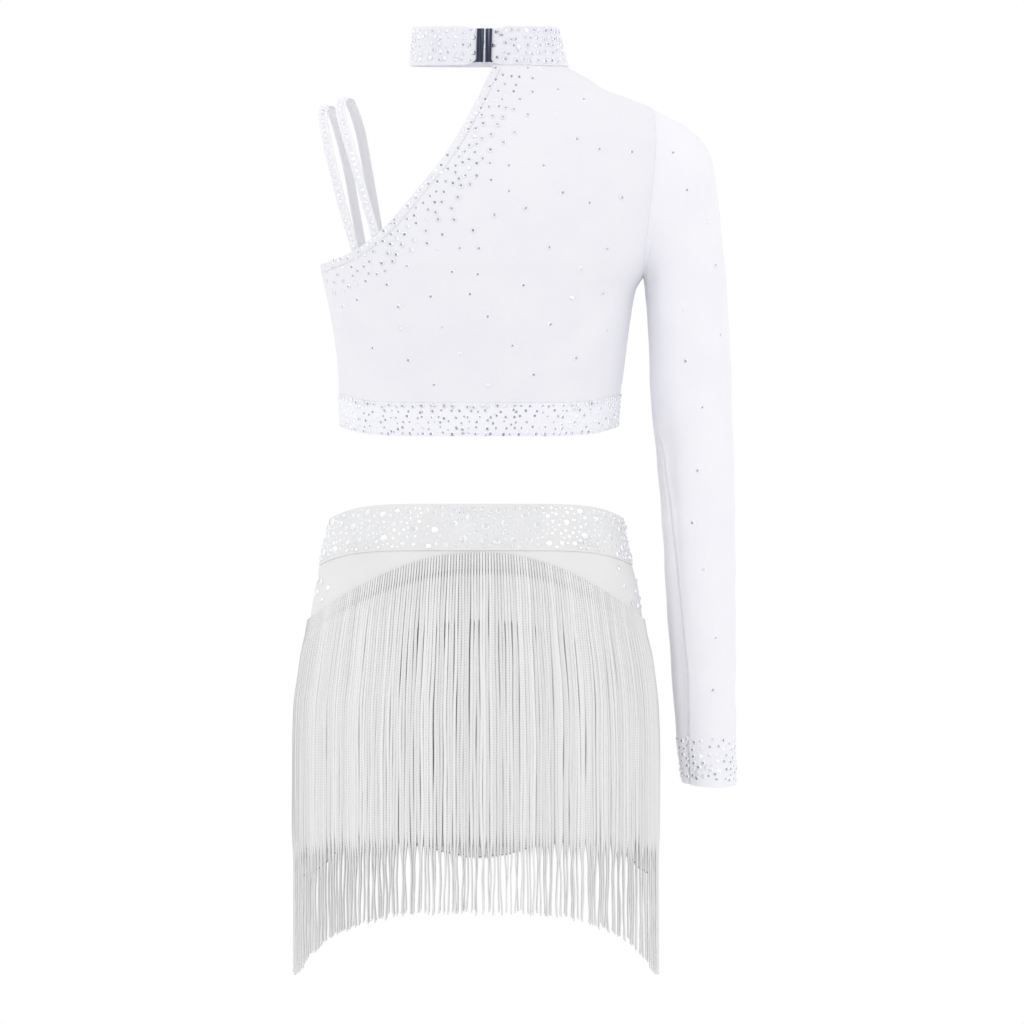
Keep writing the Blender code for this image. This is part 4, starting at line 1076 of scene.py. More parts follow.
def sleeve_rings():
    """Rings of points of the sleeve from cuff to armhole, about a cell apart."""
    angles = sleeve_angles()
    middle = (UNDERARM_RIGHT_HEIGHT + SHOULDER_POINT_HEIGHT) / 2
    reach = (SHOULDER_POINT_HEIGHT - UNDERARM_RIGHT_HEIGHT) / 2
    heights = middle - reach * np.cos(np.radians(angles))
    xs = armhole_xs(heights)
    back = turns_at(TORSO, xs, heights)
    turns = np.where(angles > 180, 360 - back, back)
    turns = np.where(np.isclose(angles % 180, 0), 0.0, turns)
    armhole = form_points(TORSO, turns, heights) + np.array((SEAM_GAP, 0, 0))
    places = np.concatenate([np.linspace(i, i + 1, SLEEVE_STEPS[i] + 1)[:-1] for i in range(len(SLEEVE) - 1)])
    places = np.append(places, len(SLEEVE) - 1)
    table = [(i, *row) for i, row in enumerate(SLEEVE)]
    inner_x, inner_h, outer_x, outer_h, half_depth, middle_y, crease = (
        smooth_values(table, column, places)[:, None] for column in range(1, 8)
    )
    fold = 1 - crease * np.exp(-(((angles - CREASE_ANGLE) / CREASE_SPREAD) ** 2))[None, :]
    across = -np.cos(np.radians(angles))[None, :] * fold
    deep = np.sin(np.radians(angles))[None, :] * fold
    x = (inner_x + outer_x) / 2 + across * (outer_x - inner_x) / 2
    h = (inner_h + outer_h) / 2 + across * (outer_h - inner_h) / 2
    y = middle_y - deep * half_depth
    rings = np.stack((x, y, h), -1)
    rings[-1, :, 2] -= CUFF_BACK_DROP * np.sin(np.radians(angles))
    raised = np.zeros(rings.shape[:2])
    for at, angle, half_length, half_width, rise in SLEEVE_CREASES:
        apart = (angles - angle + 180) % 360 - 180
        slant = places[:, None] - at + apart[None, :] * 0.006
        raised += rise * np.exp(-((slant / half_length) ** 2)) * np.exp(-((apart / half_width) ** 2))[None, :]
    raised += unevenness(rings, SLEEVE_UNEVEN, 21)
    seam_angles = smooth_values(SLEEVE_SEAM, 1, places)[:, None]
    radius = (outer_x - inner_x) / 2 * 0.9
    from_seam = np.radians(angles[None, :] - seam_angles) * radius
    begun = edge_fade(places - SLEEVE_SEAM[0][0], 1.6)[:, None]
    groove = -SLEEVE_SEAM_DEEP * begun * np.exp(-((from_seam / SLEEVE_SEAM_HALF) ** 2))
    lip = SLEEVE_LIP * begun * np.exp(-(((from_seam - SLEEVE_LIP_APART) / SLEEVE_LIP_HALF) ** 2))
    from_cuff = np.linalg.norm(rings - rings[-1:], axis=-1)
    from_armhole = np.linalg.norm(rings - armhole[None], axis=-1)
    raised *= edge_fade(np.minimum(from_cuff + CELL, from_armhole), SLEEVE_EDGE_FADE)
    raised += groove + lip
    raised = np.concatenate((np.zeros((1, len(angles))), raised))
    return np.concatenate((armhole[None], rings))[::-1], raised[::-1]


def ring_outwards(rings):
    """The outward direction of each point of closed rings, in the ring's own plane."""
    middle = rings.mean(axis=1, keepdims=True)
    spokes = rings - middle
    plane = np.cross(spokes, np.roll(spokes, -1, axis=1)).sum(axis=1, keepdims=True)
    run = np.roll(rings, -1, axis=1) - np.roll(rings, 1, axis=1)
    return -unit(np.cross(plane, run))


def sleeve_cloth(material):
    rings, raised = sleeve_rings()
    outwards = ring_outwards(rings)
    outer = rings + outwards * raised[..., None]
    inner = outer - outwards * CLOTH
    cloth_piece("sleeve_cloth", outer, inner, material, "sleeve", closed=True)
    return outer, outwards


def joined(name, meshes):
    """One mesh made of several."""
    made = bmesh.new()
    for mesh in meshes:
        made.from_mesh(mesh)
    mesh = bpy.data.meshes.new(name)
    made.to_mesh(mesh)
    made.free()
    return mesh


def plate(name, from_x, to_x, outer_y, wall, tall, foot_x=0.0):
    """A metal plate with rolled ridges along its sides. Its foot may flare out to a burr at one corner."""
    shares = np.linspace(0, 1, 15)
    levels = np.concatenate((np.linspace(0, 0.10, 6), np.linspace(0.2, 1, 9)))[:, None]
    rims = np.abs(shares * 2 - 1) > 0.95
    ridges = CLASP_RIDGE * ((np.cos(shares * 4 * math.pi) - 1) / 2 + rims)
    flare = np.clip(1 - levels / 0.10, 0, 1) ** 2 * abs(foot_x)
    reach = np.clip(shares * 4 - 3, 0, 1) if foot_x > 0 else np.clip(1 - shares * 4, 0, 1)
    lean = CLASP_LEAN * (levels - 0.5)
    x = from_x + (to_x - from_x) * shares[None, :] + flare * reach[None, :] * np.sign(foot_x) + lean
    heights = CLASP_HEIGHT + tall * (levels - 0.5) - flare * reach[None, :] * 0.15
    y = outer_y - ridges[None, :] + 0 * levels
    outer = np.stack(np.broadcast_arrays(x, y, heights), -1)
    inner = outer.copy()
    inner[..., 1] = outer_y + wall
    return wall_mesh(name, outer, inner)


def clasp(dark, bright):
    """The fastened clasp: the hook's tongue lies behind the thinner eye plate. Its steel is painted bright,
    painted light for the bright line between the plates.
    """
    outer_y = float(form_points(NECK, 90, CLASP_HEIGHT)[1]) - CLASP_PROUD
    hook = plate("hook_plate", HOOK_FROM_X, HOOK_TO_X, outer_y, HOOK_WALL, CLASP_TALL, -CLASP_FOOT)
    tongue_y = outer_y + HOOK_WALL - TONGUE_WALL
    tongue = plate("tongue", HOOK_TO_X - TONGUE_ROOT, EYE_TO_X - TONGUE_ROOT, tongue_y, TONGUE_WALL,
                   TONGUE_TALL)
    both = joined("clasp_hook_plate", (hook, tongue))
    for material in (dark, bright):
        both.materials.append(material)
    for face in both.polygons[len(hook.polygons):]:
        face.material_index = 1
    placed("clasp_hook_plate", both, None, ("clasp_hook",))
    eye = plate("clasp_eye_plate", EYE_FROM_X, EYE_TO_X, outer_y, EYE_WALL, CLASP_TALL, CLASP_FOOT / 2)
    placed("clasp_eye_plate", eye, dark, ("clasp_eye",))


def strap_cloth(table, material, node):
    """A narrow strap over the shoulder. Returns points and directions along the middle of its outer side."""
    places = np.linspace(0, len(table) - 1, STRAP_CLOTH_STEPS)
    rows = [(i, *row) for i, row in enumerate(table)]
    x, height, share = (smooth_values(rows, column, places) for column in (1, 2, 3))
    back, front = turns_at(TORSO, x, height), turns_at(TORSO, x, height, front=True)
    turns = np.where(share < 0, front, back)
    middles = np.stack((x, form_points(TORSO, turns, height)[:, 1] * np.abs(share), height), -1)
    along = form_points(TORSO, turns - 1, height) - form_points(TORSO, turns + 1, height)
    along = unit(along * np.where(along[:, :1] < 0, -1.0, 1.0))
    mix = (share ** 2)[:, None]
    sideways = unit(along * mix + np.array((1.0, 0, 0)) * (1 - mix))
    run = unit(np.gradient(middles, axis=0))
    sideways = unit(sideways - (sideways * run).sum(axis=1, keepdims=True) * run)
    outwards = unit(np.cross(run, sideways))
    from_chest = middles - np.array((0, 0, CHEST_HEIGHT))
    outwards *= np.where((outwards * from_chest).sum(axis=1, keepdims=True) < 0, -1.0, 1.0)
    steps = np.linspace(-1, 1, 7)
    crown = STRAP_CROWN * (1 - steps ** 2)
    outer = (middles[:, None] + sideways[:, None] * (steps * STRAP_WIDE / 2)[None, :, None]
             + outwards[:, None] * crown[None, :, None])
    inner = outer - outwards[:, None] * CLOTH
    if np.cross(outer[0, 1] - outer[0, 0], outer[1, 0] - outer[0, 0]) @ outwards[0] < 0:
        outer, inner = outer[:, ::-1], inner[:, ::-1]
    cloth_piece(node + "_cloth", outer, inner, material, node)
    return middles + outwards * STRAP_CROWN, outwards, share


def shorts_cloth(front, material):
    """The back or front of the shorts, from the waistband to the leg hems."""
    turns = np.linspace(180, 0, SHORTS_CLOTH_COLUMNS + 1) + (180 if front else 0)
    shares = np.linspace(0, 1, SHORTS_CLOTH_ROWS + 1)[:, None]
    high = waistband_foot(turns) - SEAM_GAP
    heights = high * shares + leg_hem_heights(turns) * (1 - shares)
    turns = np.broadcast_to(turns, heights.shape)
    flat = form_points(HIPS, turns, heights)
    from_seams = [np.linalg.norm(flat - seam, axis=-1) for seam in (flat[:, :1], flat[:, -1:])]
    edges = np.minimum.reduce([heights - heights[:1], heights[-1:] - heights, *from_seams])
    raised = creased(flat, SHORTS_CREASES) + unevenness(flat, SHORTS_UNEVEN, 31)
    raised *= edge_fade(edges, SHORTS_EDGE_FADE)
    outer, inner = panel_walls(HIPS, turns, heights, np.minimum(raised, UNDER_FRINGE), front)
    node = "shorts_front" if front else "shorts_back"
    cloth_piece(node + "_cloth", outer, inner, material, node)


def gusset_cloth(material):
    shares = np.linspace(0, 1, 41)
    drops = smooth_values(GUSSET_LINE, 1, shares)
    half = GUSSET_HALF_WIDTH + (GUSSET_WAIST - GUSSET_HALF_WIDTH) * np.sin(math.pi * shares)
    across = np.linspace(1, -1, 25)
    rounded = 1 - GUSSET_ROUND * across[None, :] ** 2
    fall = (GUSSET_LOW_HEIGHT - GUSSET_TOP_HEIGHT) * drops[:, None]
    heights = GUSSET_TOP_HEIGHT - SEAM_GAP + fall * rounded
    x = half[:, None] * across[None, :]
    top = np.full(x.shape, GUSSET_TOP_HEIGHT)
    back, front = (
        form_points(HIPS, turns_at(HIPS, x, top, front=side), top)[..., 1] for side in (False, True)
    )
    outer = np.stack((x, back + (front - back) * shares[:, None], heights), -1)
    inwards = unit(np.cross(unit(np.gradient(outer, axis=1)), unit(np.gradient(outer, axis=0))))
    inwards *= np.where(inwards[..., 2:] < 0, -1.0, 1.0)
    cloth_piece("gusset_cloth", outer, outer + inwards * CLOTH, material, "gusset")


def cord_turns():
    """The turns at which the back's cords grow, at equal distances along the header's lower edge."""
    trial = np.linspace(0, 180, TRIAL_STEPS + 1)
    clearance = np.full(trial.shape, HEADER_CLEARANCE)
    route = skin(HIPS, trial, fringe_heights(trial) - HEADER_TALL, clearance, hang=True)
    run = run_lengths(route)
    return np.interp((np.arange(CORDS_A_SIDE) + 0.5) / CORDS_A_SIDE * run[-1], run, trial), run[-1]


def waves(chance, fallen, sizes, likeness):
    """Slow sideways waves down each cord. Neighbours sway alike by that share."""
    count = len(fallen)
    total = np.zeros(fallen.shape)
    for length, size in sizes:
        own = chance.uniform(0, 2 * math.pi, (count, 1))
        shared = np.sin(np.arange(count) * chance.uniform(0.25, 0.6))[:, None] * math.pi
        stretch = chance.uniform(0.8, 1.25, (count, 1))
        phase = own * (1 - likeness) + shared * likeness
        total += size * np.sin(fallen * 2 * math.pi / (length * stretch) + phase)
    return total


def group_middles(groups):
    """For each cord, the middle place of the group of neighbours that it belongs to."""
    return np.array([np.flatnonzero(groups == group).mean() for group in groups])[:, None]


def cord_steps():
    """Shares down a cord, closer together where the cords lie in bunches."""
    first, last, fine = CORD_FINE_SHARES
    steps = np.linspace(0, 1, CORD_STEPS + 1)
    return np.concatenate((steps[steps < first], np.arange(first, last, fine), steps[steps >= last]))


def fringe_cords(front, material):
    """The cords of one half of the fringe, hanging from the header. The front's sway as the back's do."""
    chance = np.random.default_rng(51)
    turns, wide = cord_turns()
    count = len(turns)
    number = np.arange(count)[:, None]
    tops = fringe_heights(turns)
    feet = fringe_foot_heights(turns) + chance.normal(scale=CORD_END_SPREAD, size=count)
    heights = tops[:, None] + (feet - tops)[:, None] * cord_steps()[None, :]
    fallen = tops[:, None] - heights
    loose = edge_fade(fallen - HEADER_TALL, LOOSE_FADE)
    free = edge_fade(FREE_HEIGHT - heights, FREE_FADE)
    sway = waves(chance, fallen, LOOSE_WAVES, 0.6) * loose * SWAY_SHARE
    sway += waves(chance, fallen, FREE_WAVES, 0.2) * free * FREE_SWAY_SHARE
    sway += chance.uniform(-0.5, 0.5, (count, 1)) * loose * SHIFT_SHARE

    x = form_points(HIPS, turns, tops)[:, :1]
    spread = np.cos(math.pi * (x - BUNCH_X) / BUNCH_APART) ** 2 * np.exp(-((x / BUNCH_REACH) ** 4))
    below = fallen - BUNCH_FALL
    bunch = spread * edge_fade(below + 0.004, 0.004) * np.exp(-np.clip(below, 0, 1) / BUNCH_TALL)
    fours = group_middles(np.cumsum(number[:, 0] % 4 != 3)) - number
    pairs = np.cumsum(chance.uniform(size=count) < PAIR_SHARE)
    joining = chance.uniform(0.5, 1.1, pairs.max() + 1)[pairs][:, None] * PAIR_PULL
    late = edge_fade(PAIR_FROM - heights, PAIR_FALL) * joining
    aside = sway + fours * BUNCH_PULL * bunch + (group_middles(pairs) - number) * late
    aside *= wide / CORDS_A_SIDE * np.clip((np.minimum(number, number[::-1]) + 0.5) / SIDE_CORDS, 0, 1)

    outs = chance.uniform(0.0, 1.0, (count, 1))
    outs = outs * (1 + np.sin(fallen * 38 + chance.uniform(0, 6.3, (count, 1))))
    depth = CORD_OUT * (0.7 + 0.3 * edge_fade(fallen, 0.03)) + loose * CORD_DEPTH_SPREAD * outs
    depth += edge_fade(fallen - HEADER_TALL, 0.02) * CORD_LAYER * (number % 2)
    if front:
        turns, aside = 360 - turns, -aside
    wide_turns = np.broadcast_to(turns[:, None], heights.shape)
    ahead, behind = (form_points(HIPS, wide_turns + step, heights, True) for step in (1, -1))
    points = skin(HIPS, wide_turns, heights, depth, hang=True) + unit(ahead - behind) * aside[..., None]

    held = 1 - HEADER_THIN * (1 - edge_fade(fallen - HEADER_TALL * 0.7, 0.012))
    held -= HEADER_PINCH * np.exp(-(((fallen - HEADER_TALL) / 0.0035) ** 2))
    thinned = edge_fade(CORD_THIN_FROM - heights, 0.030)
    fill = 1 + CORD_FILL * (number % 2 == 0) * edge_fade(fallen - 0.022, 0.03) * (1 - thinned)
    swell = 1 + CORD_SWELL * edge_fade(fallen - 0.035, 0.08)
    thick = (swell - CORD_TAPER * thinned) * fill * (1 - BUNCH_SHARE * bunch) * held
    thick = thick * chance.uniform(0.92, 1.05, (count, 1))
    thick[:, -1] *= CORD_KNOT
    thick[:, 0] *= CORD_ROOT
    steps = heights.shape[1]
    edges = [(i * steps + k, i * steps + k + 1) for i in range(count) for k in range(steps - 1)]
    # Each cord gets a random amount of painted shade, less at the sides, so the side cords, which the lamps
    # light less, are painted lighter: painted light
    middle = np.abs(np.sin(np.radians(turns)))[:, None]
    shade = np.broadcast_to(chance.uniform(0, 1, (count, 1)) * (0.3 + 0.7 * middle), heights.shape)
    seeds = seeds_of(points.reshape(-1, 3), edges, thick=thick.ravel(), chance=shade.ravel())
    node = "fringe_front" if front else "fringe_back"
    mesh = baked(node + "_cords", seeds, cords_tree(), material, {"radius": CORD_RADIUS}, True)
    placed(node + "_cords", mesh, None, (node,))


def header_tape(front, material):
    """The tape that the cords are chain-stitched to, behind their upper ends. Its grey is painted shade,
    which darkens the gaps between the cords.
    """
    seam = 180 if front else 0
    turns = np.linspace(seam + 180 - HEADER_END_TURN, seam + HEADER_END_TURN, 121)
    shares = np.linspace(0, 1, 5)[:, None]
    heights = fringe_heights(turns)[None, :] - HEADER_TALL * (1 - shares)
    turns = np.broadcast_to(turns, heights.shape)
    outer, inner = (
        skin(HIPS, turns, heights, np.full(heights.shape, HEADER_CLEARANCE + thick), hang=True)
        for thick in (TAPE_THICK, 0.0)
    )
    name = "fringe_front_tape" if front else "fringe_back_tape"
    placed(name, wall_mesh(name, outer, inner), material)


def between(spots, run, values):
    """Points or directions at distances along a row of them."""
    return np.stack([np.interp(spots, run, column) for column in values.T], -1)


# The last value of a seat is the share of its stones whose tables carry a painted dark reflection
def seats_on(form, turns, heights, out, sizes, dark):
    out = np.full(np.shape(turns), out)
    return skin(form, turns, heights, out), form_normals(form, turns, heights), sizes, dark


def rows_of_stones(form, low_edge, tall, out, first, last, pitch, rows, size, spread, seed, dark,
                   height=0.0):
    """Seats in staggered rows on a band, a little uneven as they are set by hand."""
    chance = np.random.default_rng(seed)
    turns, heights = [], []
    for row in range(rows):
        line = even_turns(form, height, pitch, first, last)
        step = (line[1] - line[0]) / 2
        line = line + (step if row % 2 else 0.0) + chance.normal(scale=abs(step) * spread, size=len(line))
        up = tall * (row + 0.5) / rows + chance.normal(scale=tall / rows * 0.5 * spread, size=len(line))
        turns.append(line)
        heights.append(low_edge(line) + np.clip(up, 0.6 * size, tall - 0.6 * size))
    turns, heights = np.concatenate(turns), np.concatenate(heights)
    sizes = size * chance.choice((0.8, 1.0, 1.15), size=len(turns))
    return seats_on(form, turns, heights, out, sizes, dark(form_points(form, turns, heights)))


def scattered(tries, near, room, seed):
    """Places (x, height) thrown at random that keep their room from those already lying."""
    chance = np.random.default_rng(seed)
    kept = [np.array(place) for place in near]
    made = []
    for _ in range(tries):
        place = np.array((chance.uniform(-0.145, 0.15), chance.uniform(0.11, 0.40)))
        apart = room(place)
        if apart and all(abs(place[0] - k[0]) > apart or np.hypot(*(place - k)) > apart for k in kept):
            kept.append(place)
            made.append(place)
    return made


def neckline_room():
    """Says how much room a stone takes on the top, from how far it lies inside the neckline."""
    line = neckline_line(60)

    def room(place):
        x, height = place
        left, right = (float(smooth_values(TORSO, column, height)) * 0.985 for column in (LEFT, RIGHT))
        arm = float(armhole_xs(height)) - 0.004 if height > UNDERARM_RIGHT_HEIGHT else right
        if not -left < x < min(right, arm) or height > NECKLINE[0][1] and x < float(neckline_xs(height)):
            return 0.0
        apart = float(np.min(np.linalg.norm(line - place, axis=1)))
        if apart < NECKLINE_BARE:
            return 0.0
        return NECKLINE_ROOM + max(apart - NECKLINE_THICK, 0.0) * NECKLINE_THINNING

    return room


def neckline_stones(front):
    """Seats of the stones on the back or front of the top, thick along the neckline and few beyond."""
    room = neckline_room()
    places = scattered(STONE_TRIES, [] if front else BACK_STONES, room, 62 if front else 61)
    if not front:
        places = [place for place in places if room(place) < BACK_ROOM] + list(map(np.array, BACK_STONES))
    places = np.array(places)
    sizes = np.random.default_rng(63).choice(NECKLINE_STONES, size=len(places))
    turns = turns_at(TORSO, places[:, 0], places[:, 1], front=front)
    return seats_on(TORSO, turns, places[:, 1], 0.0002, sizes, 0.8)


def edge_stones(front):
    """Seats of the row of small stones that runs right along the neckline."""
    line = neckline_line(400)
    run = run_lengths(line)
    spots = np.arange(EDGE_PITCH / 2, run[-1], EDGE_PITCH)
    x, height = moved_inside(np.stack([np.interp(spots, run, column) for column in line.T], -1), EDGE_INSIDE)
    turns = turns_at(TORSO, x, height, front=front)
    return seats_on(TORSO, turns, height, 0.0001, np.full(len(x), EDGE_STONE), 0.1)


def sleeve_stones(outer, outwards):
    """Seats on the sleeve: the few that the photograph shows, more of the kind in front, and the cuff's."""
    flat_points, flat_ways = outer.reshape(-1, 3), outwards.reshape(-1, 3)
    chance = np.random.default_rng(71)
    points, ways = [], []
    for x, height in SLEEVE_STONES:
        for rear in (True, False):
            side = flat_ways[:, 1] < 0 if rear else flat_ways[:, 1] > 0
            place = np.array((x, height)) + (0 if rear else chance.normal(scale=0.012, size=2))
            near = np.where(side, np.linalg.norm(flat_points[:, (0, 2)] - place, axis=1), 9.0).argmin()
            points.append(flat_points[near])
            ways.append(flat_ways[near])
    cuff, cuff_ways = outer[:CUFF_RINGS], outwards[:CUFF_RINGS]
    run = run_lengths(cuff[:, 0])
    around = run_lengths(np.concatenate((cuff[3], cuff[3][:1])))
    kept = []
    for _ in range(CUFF_TRIES):
        level, spot = chance.uniform(0.003, CUFF_TALL), chance.uniform(0, around[-1])
        room = CUFF_ROOM * chance.uniform(0.85, 1.25) * (0.75 if level < 0.014 else 1.0)
        across = [min(abs(spot - s), around[-1] - abs(spot - s)) for _, s in kept]
        if all(math.hypot(level - up, side) > room for (up, _), side in zip(kept, across)):
            kept.append((level, spot))
    for level, spot in kept:
        k = min(max(int(np.searchsorted(run, level)), 1), CUFF_RINGS - 1)
        share = (level - run[k - 1]) / (run[k] - run[k - 1])
        ring, way = cuff[k - 1] + (cuff[k] - cuff[k - 1]) * share, cuff_ways[k - 1]
        for found, values in ((points, ring), (ways, way)):
            found.append(between(spot, around, np.concatenate((values, values[:1]))))
    sizes = chance.choice(SLEEVE_STONE_SIZES, size=len(points))
    return np.array(points), unit(np.array(ways)), sizes, 0.75


def strap_stones(points, outwards, shares):
    """Seats in a single row along the back part of a strap."""
    run = run_lengths(points)
    spots = np.arange(STRAP_PITCH, np.interp(0.0, -shares, run), STRAP_PITCH)
    ways = unit(between(spots, run, outwards))
    return between(spots, run, points), ways, np.full(len(spots), STRAP_STONE), 0.05


def waistband_stones():
    """Seats of the mixed stones on the waistband, thrown close together, the large ones first."""
    chance = np.random.default_rng(81)
    turns = np.linspace(-180, 180, 2 * TRIAL_STEPS + 1)
    run = run_lengths(form_points(HIPS, turns, -0.020))
    kept = []
    for size, tries in WAISTBAND_STONES:
        for _ in range(tries):
            along, up = chance.uniform(0, run[-1]), chance.uniform(0.003, WAISTBAND_TALL - 0.003)
            clear = size * (1.6 if size > 0.005 else 0.85)
            if not 0.001 <= up - size / 2 < up + size / 2 <= WAISTBAND_TALL - 0.001:
                continue
            if all(abs(along - a) > clear + s / 2 or math.hypot(along - a, up - u) > clear + s / 2
                   for a, u, s in kept):
                kept.append((along, up, size))
    along, up, sizes = np.array(kept).T
    own = np.interp(along, run, turns)
    return seats_on(HIPS, own, waistband_foot(own) + up, WAISTBAND_PROUD + 0.0004, sizes, 0.0)


def yoke_stones():
    """Seats of the few larger stones on the bare yoke beside the fringe."""
    chance = np.random.default_rng(82)
    places, sizes = [], []
    for side, most in ((0, 12), (180, 24)):
        for _ in range(YOKE_TRIES):
            turn = side + chance.uniform(-YOKE_REACH, YOKE_REACH)
            high, low = float(waistband_foot(turn)) - 0.004, float(fringe_heights(turn)) + 0.005
            if high <= low:
                continue
            height = chance.uniform(low, high)
            spot = form_points(HIPS, turn, height)
            if len(places) < most and all(np.linalg.norm(spot - p[2]) > YOKE_APART for p in places):
                places.append((turn, height, spot))
                sizes.append(chance.choice(YOKE_STONES))
    turns, heights = np.array([p[0] for p in places]), np.array([p[1] for p in places])
    return seats_on(HIPS, turns, heights, 0.0002, np.array(sizes), 0.0)


def stitch_lines(white, hem_shade):
    """The rows of thread that show: the shorts' hems, the turned neckline and the band seams. The hems' grey
    is painted shade.
    """
    turns = np.linspace(0, 180, 181)
    hems, top_lines = [], []
    for front in (False, True):
        own = 360 - turns if front else turns
        edge = leg_hem_heights(own) + 0.0010
        x = form_points(HIPS, own, edge)[:, 0]
        dip = np.clip(1 - (x / GUSSET_HALF_WIDTH) ** 2, 0, 1) * GUSSET_STITCH_DIP
        ragged = np.random.default_rng(111).normal(scale=0.0006, size=own.shape)
        hems.append(skin(HIPS, own, edge - dip + ragged, np.full(own.shape, 0.0003)))
        x, height = moved_inside(neckline_line(160, 0.002), EDGE_HEM)
        own = turns_at(TORSO, x, height, front=front)
        top_lines.append(skin(TORSO, own, height, np.full(x.shape, 0.0002)))
    set_stitches("shorts_hem_stitches", hems, hem_shade, HEM_SEWN)
    turns = np.linspace(-180, 180, 361)
    out = np.full(turns.shape, WAISTBAND_PROUD + 0.0001)
    seams = [skin(HIPS, turns, height, out) for height in (
        waistband_foot(turns) + 0.0022, waist_heights(turns) - 0.0028)]
    set_stitches("waistband_stitches", seams, white, SEWN)
    out = np.full(turns.shape, HEM_BAND_PROUD + 0.0002)
    for up in (0.0024, HEM_BAND_TALL - 0.0024):
        top_lines.append(skin(TORSO, turns, hem_heights(turns) + up, out))
    set_stitches("top_stitches", top_lines, white, SEWN)


def studio():
    """White surroundings, a dim part behind the camera that stones mirror, a floor and the camera."""
    scene = bpy.context.scene
    scene.view_settings.view_transform = "Standard"
    world = bpy.data.worlds.new("studio")
    scene.world = world
    world.use_nodes = True
    tree = world.node_tree
    background = tree.nodes["Background"]
    way = add(tree, "ShaderNodeTexCoord").outputs["Generated"]
    depth = add(tree, "ShaderNodeSeparateXYZ", {"Vector": way}).outputs["Y"]
    ramp = add(tree, "ShaderNodeValToRGB", {"Fac": spanned(tree, depth, -1.0, 1.0, 1.0)})
    stops = ramp.color_ramp.elements
    stops[0].position, stops[1].position = WORLD_STOPS[0][0], WORLD_STOPS[-1][0]
    for place, _ in WORLD_STOPS[1:-1]:
        stops.new(place)
    for stop, (_, value) in zip(stops, WORLD_STOPS):
        stop.color = (value * WORLD_SCALE,) * 3 + (1,)
    tree.links.new(ramp.outputs["Color"], background.inputs["Color"])
    background.inputs["Strength"].default_value = 1.0 / WORLD_SCALE

    mesh = bpy.data.meshes.new("floor")
    corners = ((-1, -1), (1, -1), (1, 1), (-1, 1))
    mesh.from_pydata([(x * FLOOR_HALF, y * FLOOR_HALF, FLOOR_HEIGHT) for x, y in corners], [], [(0, 1, 2, 3)])
    mesh.materials.append(new_material("pale_floor", "f2f2f2", 0.9)[0])
    floor = bpy.data.objects.new("floor", mesh)
    scene.collection.objects.link(floor)

    for name, place, size, power in LAMPS:
        data = bpy.data.lights.new(name, "AREA")
        data.shape = "RECTANGLE"
        data.size, data.size_y = size
        data.energy = power
        lamp = bpy.data.objects.new(name, data)
        lamp.location = place
        lamp.rotation_euler = (-Vector(place)).to_track_quat("-Z", "Y").to_euler()
        scene.collection.objects.link(lamp)

    data = bpy.data.cameras.new("camera")
    data.sensor_width = 36.0
    data.lens = data.sensor_width / 2 * CAMERA_AWAY / VIEW_HALF
    data.shift_y = -CAMERA_HEIGHT / (2 * VIEW_HALF)
    camera = bpy.data.objects.new("camera", data)
    camera.location = (VIEW_X, -CAMERA_AWAY, CAMERA_HEIGHT)
    camera.rotation_euler = (math.radians(90), 0, 0)
    scene.collection.objects.link(camera)
    scene.camera = camera


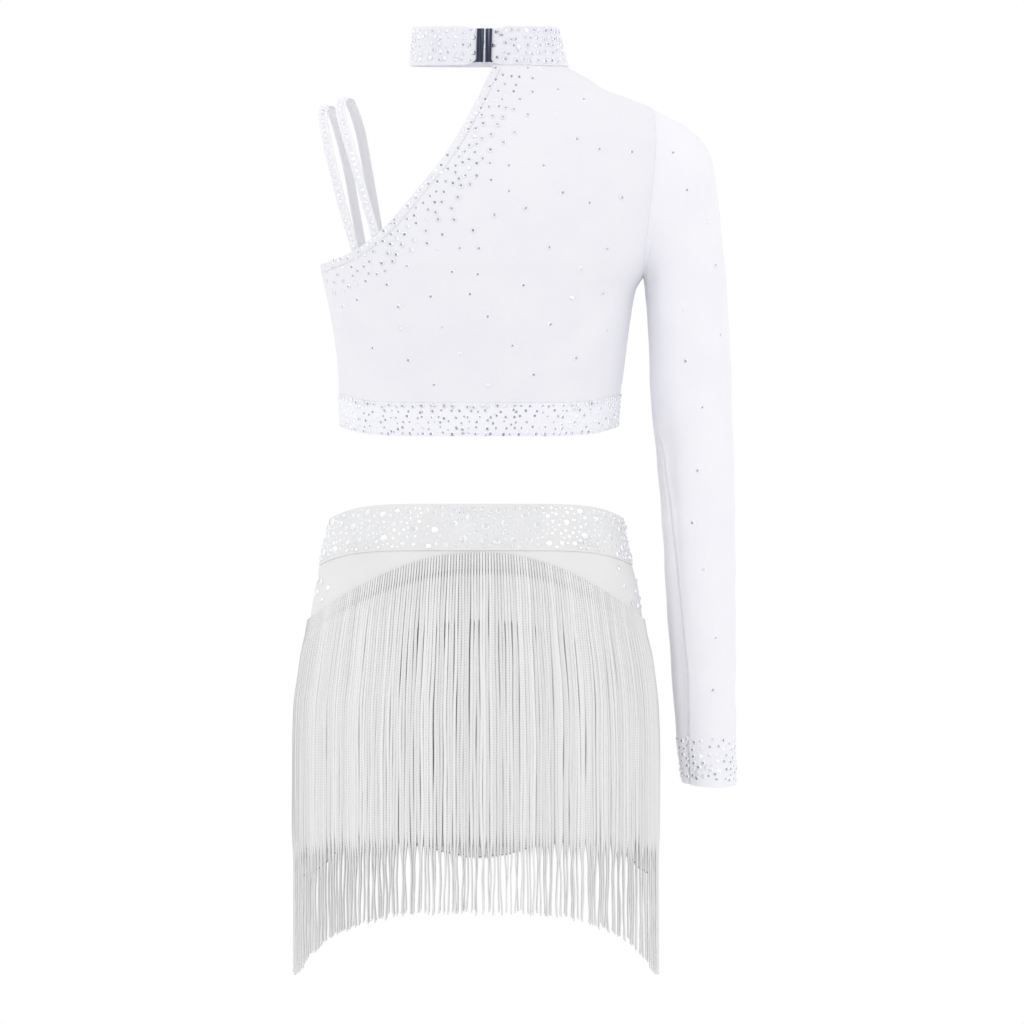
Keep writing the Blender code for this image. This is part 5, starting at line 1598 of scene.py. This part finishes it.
def main():
    # One stretch satin in copies of different tone: the sleeve's copy, also used on the hem band, is lighter
    # than the panels' copy, painted light for the sleeve being lit more brightly
    stretch = knit("stretch_satin_knit", "f1f1f6", "eeedf4", 0.50, 0.10, 0.35)
    panel = knit("stretch_satin_knit_panel", "ececf1", "e9e8ef", 0.50, 0.10, 0.35)
    hem_groove(panel, "from_neckline", EDGE_HEM)
    single = knit("stretch_satin_knit_single", "e8e8ee", "e3e3ea", 0.50, 0.10, 0.35, 0.8)
    narrow = knit("stretch_satin_knit_strap", "ececf1", "e8e8ee", 0.50, 0.10, 0.35, 0.9)
    matt = knit("shorts_knit", "e7e7e7", "e2e2e2", 0.62, 0.05, 0.3)
    # The tape's grey is painted shade for the dark gaps between the cords' upper ends
    tape = knit("header_tape", "d8d8d8", "cecece", 0.7, 0.0, 0.2)
    silk = cord_silk("chainette_cord")
    stone = crystal("foiled_crystal")
    steel = blued_metal("blued_steel")
    # Painted light: the tongue's steel is near white, for the bright line of light between the clasp's plates
    bright_steel = new_material("painted_bright_steel", "f4f5f8", 0.18, 0.9)[0]
    white_thread = thread("white_thread", "ededf1")
    # The hem stitches are real; their dark grey is painted shade for the shade at the hem's edge between the
    # cords
    hem_shade_thread = thread("hem_shade_thread", "8a8a8c")

    for front in (False, True):
        top_cloth(front, panel)
    band_cloth(TORSO, hem_heights, HEM_BAND_TALL, HEM_BAND_PROUD, stretch, "top_hem_band",
               0.0005, soft_top=0.8)
    collar_cloth(single)
    sleeve_outer, sleeve_ways = sleeve_cloth(stretch)
    outer_strap = strap_cloth(STRAP_OUTER, narrow, "strap_outer")
    inner_strap = strap_cloth(STRAP_INNER, narrow, "strap_inner")
    band_cloth(HIPS, waistband_foot, WAISTBAND_TALL, WAISTBAND_PROUD, matt, "waistband",
               0.0006)
    for front in (False, True):
        shorts_cloth(front, matt)
    gusset_cloth(matt)
    for front in (False, True):
        fringe_cords(front, silk)
    for front in (False, True):
        header_tape(front, tape)

    eye = float(turns_at(NECK, EYE_TO_X + 0.006, COLLAR_BASE_HEIGHT))
    hook = float(turns_at(NECK, HOOK_FROM_X - 0.006, COLLAR_BASE_HEIGHT)) - 360

    def collar_foot(turns):
        return np.full(np.shape(turns), COLLAR_BASE_HEIGHT + 0.0015)

    # Painted reflection: the share of dark tables, high on the collar's right and low on its left
    def collar_painted_table_shade(points):
        return np.where(points[:, 0] > 0, 0.85, 0.12)

    # Painted reflection: the share of dark tables, highest in the hem band's middle and falling towards its
    # sides
    def band_painted_table_shade(points):
        return np.clip(1.25 - (np.abs(points[:, 0]) / 0.105) ** 3, 0.1, 0.9)

    set_stones("collar_stones", [
        rows_of_stones(NECK, collar_foot, COLLAR_TALL - 0.0025, COLLAR_PROUD, eye, hook, *COLLAR_ROWS,
                       collar_painted_table_shade, height=COLLAR_BASE_HEIGHT),
    ], stone, 101)
    set_stones("top_stones", [
        neckline_stones(False), neckline_stones(True), edge_stones(False), edge_stones(True),
        rows_of_stones(TORSO, hem_heights, HEM_BAND_TALL, HEM_BAND_PROUD + 0.0003, 0, 360 - 1, *HEM_ROWS,
                       band_painted_table_shade, height=0.09),
    ], stone, 102)
    set_stones("sleeve_stones", [sleeve_stones(sleeve_outer, sleeve_ways)], stone, 103)
    set_stones("strap_stones", [strap_stones(*outer_strap), strap_stones(*inner_strap)], stone, 104)
    set_stones("waistband_stones", [waistband_stones()], stone, 105)
    set_stones("yoke_stones", [yoke_stones()], stone, 106)
    stitch_lines(white_thread, hem_shade_thread)

    clasp(steel, bright_steel)
    studio()


main()
